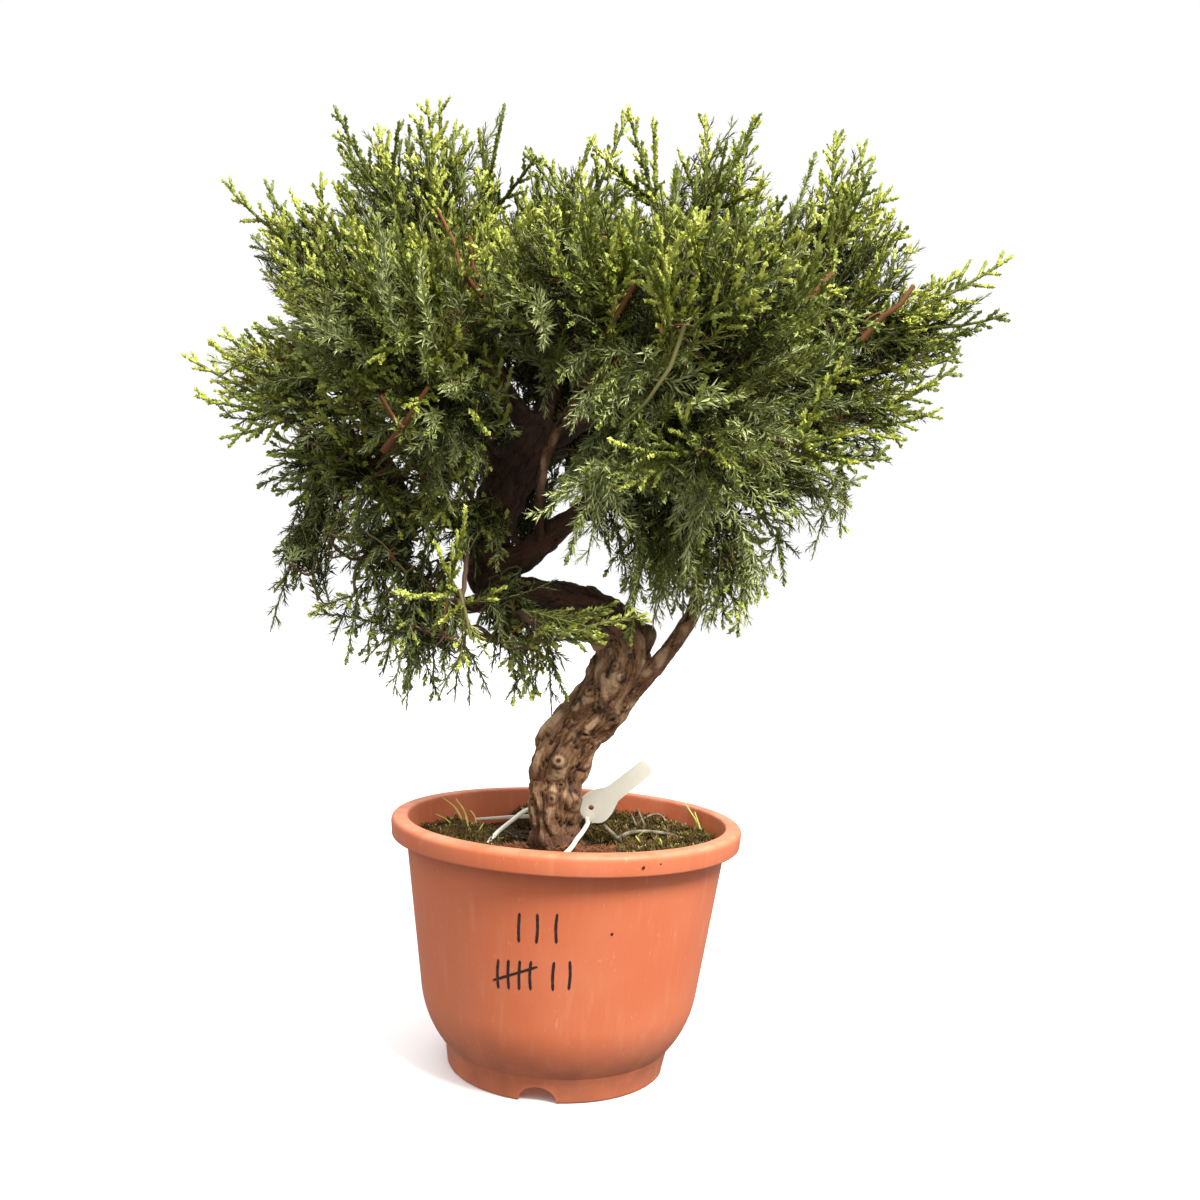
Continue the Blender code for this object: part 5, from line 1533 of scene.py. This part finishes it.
dry = [
    (((28, 22, 4), (38, 22, 9), (52, 22, 10), (66, 22, 8), (76, 22, 4)), 1.4, 0.9),
    (((22, 30, 10), (24, 26, 9), (28, 20, 7), (35, 14, 3)), 1.4, 1.0),
    (((48, 45, 4), (46, 45, 10), (42, 45, 19)), 1.2, 0.5),
    (((43, 44, 4), (41, 44, 10), (38, 44, 16)), 1.1, 0.5),
    (((44, 60, 6), (48, 60, 11), (56, 62, 13), (62, 60, 9)), 0.8, 0.5),
    (((-30, 30, 1), (-40, 34, 4), (-50, 40, 2)), 0.8, 0.5),
    (((16, -34, 1), (26, -38, 4), (38, -36, 2)), 0.9, 0.5),
    (((10, 66, 5), (6, 70, 10), (-2, 72, 12), (-10, 70, 8)), 0.7, 0.5),
    (((-70, 10, 1), (-66, 20, 4), (-64, 30, 2)), 0.8, 0.5),
]
dry_finish = Finish("dry_stalks", (0.30, 0.25, 0.18), 0.8, Specular_IOR_Level=0.2)
dry_finish.set("Base Color", dry_finish.blend(
    dry_finish.speckle(250, 4).between(0.35, 0.65), (0.34, 0.29, 0.21), (0.13, 0.095, 0.065)))
dry_stalks = as_piece("dry_stalks", thin_stalks("dry_stalks", dry, 7), dry_finish, smooth=60)
keep_piece(dry_stalks, [])

# ---------------------------------------------------------------- plant label and its tie
# A blank moulded label with a broad head and a narrow stem. Its soft round tie goes round the foot of
# the trunk and its flat end lies back over the moss, all one cream plastic.

LABEL_THICKNESS = 1.2
LABEL_PLACE = (17, 50)
LABEL_OUTLINE = [(-10.5, 4.2), (-9.6, 5.6), (-4.2, 10), (0, 10.4), (5.2, 9.2), (12.6, 5.6), (38.6, 5.3), (41, 3.4)]
LABEL_TURN = math.radians(41.0)
LABEL_HOLE = (-3.2, 1.5)
STRAP_ROUTE = [
    (11.4, 48.8, 11), (11.8, 30, 13), (11.8, 12, 15), (9.4, -6, 14.2), (6.6, -14, 11.8), (2, -24, 6.8), (-6, -31, 3.2),
    (-20, -33, 2.4), (-36, -26, 2.6), (-44.5, -9, 3.2), (-42, 16, 5.5), (-35, 38, 9), (-26, 52, 14), (-10, 57, 18),
    (5.4, 50.8, 19),
]
STRAP_RADIUS = 1.35
TAIL_ROUTE = [(11, 50.2, 12.5), (-6, 57, 11), (-30, 58, 8.6), (-58, 56, 6.0)]
CREAM = (1.0, 0.965, 0.80)


def rounded_outline(outline, cut=0.8):
    """The corners of the outline, each cut into two so that it reads as round."""
    points = [Vector(point) for point in outline]
    soft = []
    for before, point, after in zip(points[-1:] + points, points, points[1:] + points[:1]):
        for other in (before, after):
            reach = min(cut, (other - point).length / 3)
            soft.append(point + (other - point).normalized() * reach)
    return soft


def label_plate():
    outline = LABEL_OUTLINE + [(along, -side) for along, side in reversed(LABEL_OUTLINE)]
    bm = bmesh.new()
    front = [bm.verts.new((along, 0, side)) for along, side in rounded_outline(outline)]
    sheet = bmesh.ops.extrude_face_region(bm, geom=[bm.faces.new(front)])
    back = [part for part in sheet["geom"] if isinstance(part, bmesh.types.BMVert)]
    bmesh.ops.translate(bm, vec=(0, LABEL_THICKNESS, 0), verts=back)
    bmesh.ops.recalc_face_normals(bm, faces=bm.faces)
    rims = [edge for edge in bm.edges if edge.calc_face_angle(0) > 1.2 and abs(edge.verts[0].co.y - edge.verts[1].co.y) < 0.1]
    bmesh.ops.bevel(bm, geom=rims, offset=0.3, segments=2, profile=0.6, affect="EDGES")
    mesh = bpy.data.meshes.new("label_plate")
    bm.to_mesh(mesh)
    bm.free()
    return mesh


def ribbon(points, width, thickness, narrowing):
    """A flat strip on its edge along a route, closed at both ends."""
    route = smooth_route([(x, y, SOIL_TOP + rise, 1) for x, y, rise in points], 2)[:, :3]
    ways, _, _ = frames_along(route)
    bm = bmesh.new()
    rings = []
    for count, (spot, way) in enumerate(zip(route, ways)):
        out = Vector(way).cross(Vector((0, 0, 1))).normalized() * thickness / 2
        tall = Vector((0, 0, width / 2 * (1 - narrowing * count / len(route))))
        corners = ((1, 0.7), (0.7, 1), (-0.7, 1), (-1, 0.7), (-1, -0.7), (-0.7, -1), (0.7, -1), (1, -0.7))
        rings.append([bm.verts.new(Vector(spot) + s * out + t * tall) for s, t in corners])
    for lower, upper in zip(rings, rings[1:]):
        for side in range(8):
            bm.faces.new((lower[side], lower[(side + 1) % 8], upper[(side + 1) % 8], upper[side]))
    bm.faces.new(rings[0])
    bm.faces.new(rings[-1])
    bmesh.ops.recalc_face_normals(bm, faces=bm.faces)
    mesh = bpy.data.meshes.new("label_tail")
    bm.to_mesh(mesh)
    bm.free()
    return mesh


cream = Finish("cream_plastic", CREAM, 0.42, Specular_IOR_Level=0.5)
grime = cream.speckle(260, 5).between(0.45, 0.75)
cream.set("Base Color", cream.blend(0.09 * grime, CREAM, (0.66, 0.60, 0.42)))
cream.set("Roughness", 0.36 + 0.2 * grime)
cream.bump(cream.speckle(600, 3), 0.00008)
plate = label_plate()
plate.transform(Matrix.Rotation(-LABEL_TURN, 4, "Y"))
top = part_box("plant_label")[1].z / MM
plate.transform(Matrix.Translation((LABEL_PLACE[0], LABEL_PLACE[1] - LABEL_THICKNESS / 2,
                                    top - max(vert.co.z for vert in plate.vertices))))
plate_piece = as_piece("label_plate", plate, cream)
along, across = LABEL_HOLE
hole_at = Matrix.Rotation(-LABEL_TURN, 4, "Y") @ Vector((along, 0, across))
shift = top - max((Matrix.Rotation(-LABEL_TURN, 4, "Y") @ Vector((a, 0, s))).z for a, b in LABEL_OUTLINE for s in (b, -b))
hole = cylinder(1.7, 8, Matrix.Translation((LABEL_PLACE[0] + hole_at.x, LABEL_PLACE[1], shift + hole_at.z))
                @ Matrix.Rotation(math.pi / 2, 4, "X"), sides=24)
bmesh.ops.transform(hole, matrix=Matrix.Scale(MM, 4) @ Matrix.Translation(POT_AXIS), verts=hole.verts)
drill(plate_piece, [hole])
plate_piece.data.shade_smooth()
plate_piece.data.set_sharp_from_angle(angle=math.radians(40))
keep_piece(plate_piece, ["plant_label"])
keep_piece(as_piece("label_tail", ribbon(TAIL_ROUTE, 3.4, 1.0, 0.6), cream, smooth=50), [])
tie = bmesh.new()
tie_route = smooth_route([(x, y, SOIL_TOP + rise, 1) for x, y, rise in STRAP_ROUTE], 1.6)
add_tube(tie, tie_route[:, :3], [STRAP_RADIUS] * len(tie_route), 14)
tie_mesh = bpy.data.meshes.new("label_tie")
bmesh.ops.recalc_face_normals(tie, faces=tie.faces)
tie.to_mesh(tie_mesh)
tie.free()
keep_piece(as_piece("label_tie", tie_mesh, cream, smooth=50), ["label_strap"])

# ---------------------------------------------------------------- marker strokes
# Tally strokes in black marker on the front of the pot, each a thin film that follows the wall, and a
# small dark fleck beside them and on the rim.

INK = (0.022, 0.010, 0.008)
INK_LIFT = 0.12
STROKES = [  # azimuth in degrees and height at each point of a stroke, and its width
    ([(-103.2, 106.4), (-103.5, 98.5), (-103.4, 90.6)], 1.5),
    ([(-97.2, 106.9), (-97.0, 98.9), (-97.3, 91.0)], 1.5),
    ([(-90.6, 107.6), (-90.9, 100.0), (-90.5, 91.8)], 1.5),
    ([(-111.0, 80.2), (-111.5, 72.0), (-111.2, 64.2)], 1.5),
    ([(-107.2, 80.8), (-107.4, 72.5), (-107.1, 64.8)], 1.5),
    ([(-103.0, 81.2), (-103.3, 73.0), (-103.2, 65.2)], 1.5),
    ([(-99.0, 81.6), (-99.4, 73.5), (-99.0, 65.8)], 1.5),
    ([(-113.4, 68.2), (-105.0, 73.6), (-96.6, 78.8)], 1.4),
    ([(-91.0, 82.0), (-91.3, 74.0), (-91.0, 66.4)], 1.5),
    ([(-85.6, 82.8), (-85.2, 75.0), (-85.4, 67.2)], 1.5),
]
FLECKS = [(-71.7, 96.9, 0.85), (-65.7, 133.6, 0.9), (-60.0, 134.8, 0.45)]


def outer_radius(height):
    return RIM_RADIUS if height > RIM_TOP - RIM_DEPTH else wall_radius(height)


def on_wall(azimuth, height, lift):
    radius = outer_radius(height) + lift
    angle = math.radians(azimuth)
    return Vector((radius * math.cos(angle), radius * math.sin(angle), height))


def ink_mesh():
    """Closed films for the strokes, a little ragged along their edges, and round ones for the flecks."""
    bm = bmesh.new()
    for points, width in STROKES:
        route = smooth_route([(a, h, 0) for a, h in points], 0.7)
        rows = []
        for count, (azimuth, height, _) in enumerate(route):
            near = route[max(0, count - 1)], route[min(len(route) - 1, count + 1)]
            across, rise = (near[1] - near[0])[:2] * (math.radians(outer_radius(height)), 1)
            size = math.hypot(across, rise)
            end = min(1, (min(count, len(route) - 1 - count) + 0.6) / 2)
            half = width / 2 * end * (1 + 0.16 * noise.noise(Vector((azimuth, height, 0)) * 0.6))
            turn = math.degrees(half * rise / size / outer_radius(height))
            drop = half * across / size
            rows.append([bm.verts.new(on_wall(azimuth + side * turn, height - side * drop, lift))
                         for side, lift in ((1, -0.3), (1, INK_LIFT), (-1, INK_LIFT), (-1, -0.3))])
        for lower, upper in zip(rows, rows[1:]):
            for side in range(4):
                bm.faces.new((lower[side], lower[(side + 1) % 4], upper[(side + 1) % 4], upper[side]))
        bm.faces.new(rows[0])
        bm.faces.new(rows[-1])
    for azimuth, height, radius in FLECKS:
        place = Matrix.Translation(on_wall(azimuth, height, 0.0)) @ Matrix.Rotation(math.radians(azimuth), 4, "Z")
        bmesh.ops.create_uvsphere(bm, u_segments=12, v_segments=6, radius=radius,
                                  matrix=place @ Matrix.Diagonal((0.4, 1, 1, 1)))
    bmesh.ops.recalc_face_normals(bm, faces=bm.faces)
    mesh = bpy.data.meshes.new("marker_strokes")
    bm.to_mesh(mesh)
    bm.free()
    return mesh


ink = Finish("marker_ink", INK, 0.35, Specular_IOR_Level=0.5)
ink.set("Base Color", ink.blend(ink.speckle(700, 4, (1, 1, 0.3)).between(0.5, 0.8), INK, (0.10, 0.035, 0.02)))
keep_piece(as_piece("marker_strokes", ink_mesh(), ink), [])

# ---------------------------------------------------------------- floor, light and camera
# A plain pale floor under a white backdrop. The light is an overcast sky, brightest overhead, and one
# large soft lamp above right. Floor and backdrop throw no light back, so the undersides stay dark.

BACKDROP_RADIUS = 5.0
SKY_LEVEL = 0.42
SKY_OVERHEAD = 1.9
CAMERA_PLACE = Vector((0.01276, -0.690, 0.2735))
CAMERA_PITCH = 0.012
CAMERA_ROLL = 0.049

white_paint = Finish("pale_floor", (0.95, 0.95, 0.95), 0.9)
white_glow = Finish("white_backdrop", (0, 0, 0), 1.0, Emission_Color=(1, 1, 1, 1), Emission_Strength=1.0)
for stage_name, finish, low in (("floor", white_paint, True), ("backdrop", white_glow, False)):
    shape = bmesh.new()
    if low:
        bmesh.ops.create_circle(shape, cap_ends=True, segments=64, radius=BACKDROP_RADIUS)
    else:
        bmesh.ops.create_icosphere(shape, subdivisions=4, radius=BACKDROP_RADIUS)
        bmesh.ops.reverse_faces(shape, faces=shape.faces)
    stage_mesh = bpy.data.meshes.new(stage_name)
    shape.to_mesh(stage_mesh)
    shape.free()
    stage_mesh.materials.append(finish.material)
    stage_object = bpy.data.objects.new(stage_name, stage_mesh)
    stage_object.location.z = -0.0002
    stage_object.visible_diffuse = stage_object.visible_glossy = False
    stage_object.visible_shadow = low
    bpy.context.scene.collection.objects.link(stage_object)


def soft_light(name, place, size, power, target):
    lamp = bpy.data.lights.new(name, "AREA")
    lamp.shape = "DISK"
    lamp.size = size
    lamp.energy = power
    light = bpy.data.objects.new(name, lamp)
    light.location = place
    light.rotation_euler = (Vector(target) - Vector(place)).to_track_quat("-Z", "Y").to_euler()
    bpy.context.scene.collection.objects.link(light)


soft_light("key_light", (0.75, -0.95, 1.50), 0.6, 50, (0, 0, 0.3))
sky = bpy.data.worlds.new("overcast_sky")
sky.use_nodes = True
sky_nodes = Nodes(sky.node_tree)
way = sky_nodes.add("ShaderNodeTexCoord", output="Generated")
up = sky_nodes.add("ShaderNodeSeparateXYZ", inputs={"Vector": way}, output="Z")
light_level = SKY_LEVEL + SKY_OVERHEAD * up.between(0.1, 1.0)
sky_nodes.feed(sky.node_tree.nodes["Background"].inputs["Strength"], light_level)
sky.node_tree.nodes["Background"].inputs["Color"].default_value = (1, 1, 1, 1)
bpy.context.scene.world = sky
bpy.context.scene.view_settings.view_transform = "Standard"

lens = bpy.data.cameras.new("camera")
lens.lens = 36
lens.sensor_width = 36
camera = bpy.data.objects.new("camera", lens)
ahead = Vector((0, math.cos(CAMERA_PITCH), -math.sin(CAMERA_PITCH)))
right = Vector((1, 0, 0))
up = right.cross(ahead)
turned_right = right * math.cos(CAMERA_ROLL) + up * math.sin(CAMERA_ROLL)
turned_up = up * math.cos(CAMERA_ROLL) - right * math.sin(CAMERA_ROLL)
facing = Matrix((turned_right, turned_up, -ahead)).transposed().to_4x4()
camera.matrix_world = Matrix.Translation(CAMERA_PLACE + POT_AXIS * MM) @ facing
bpy.context.scene.collection.objects.link(camera)
bpy.context.scene.camera = camera
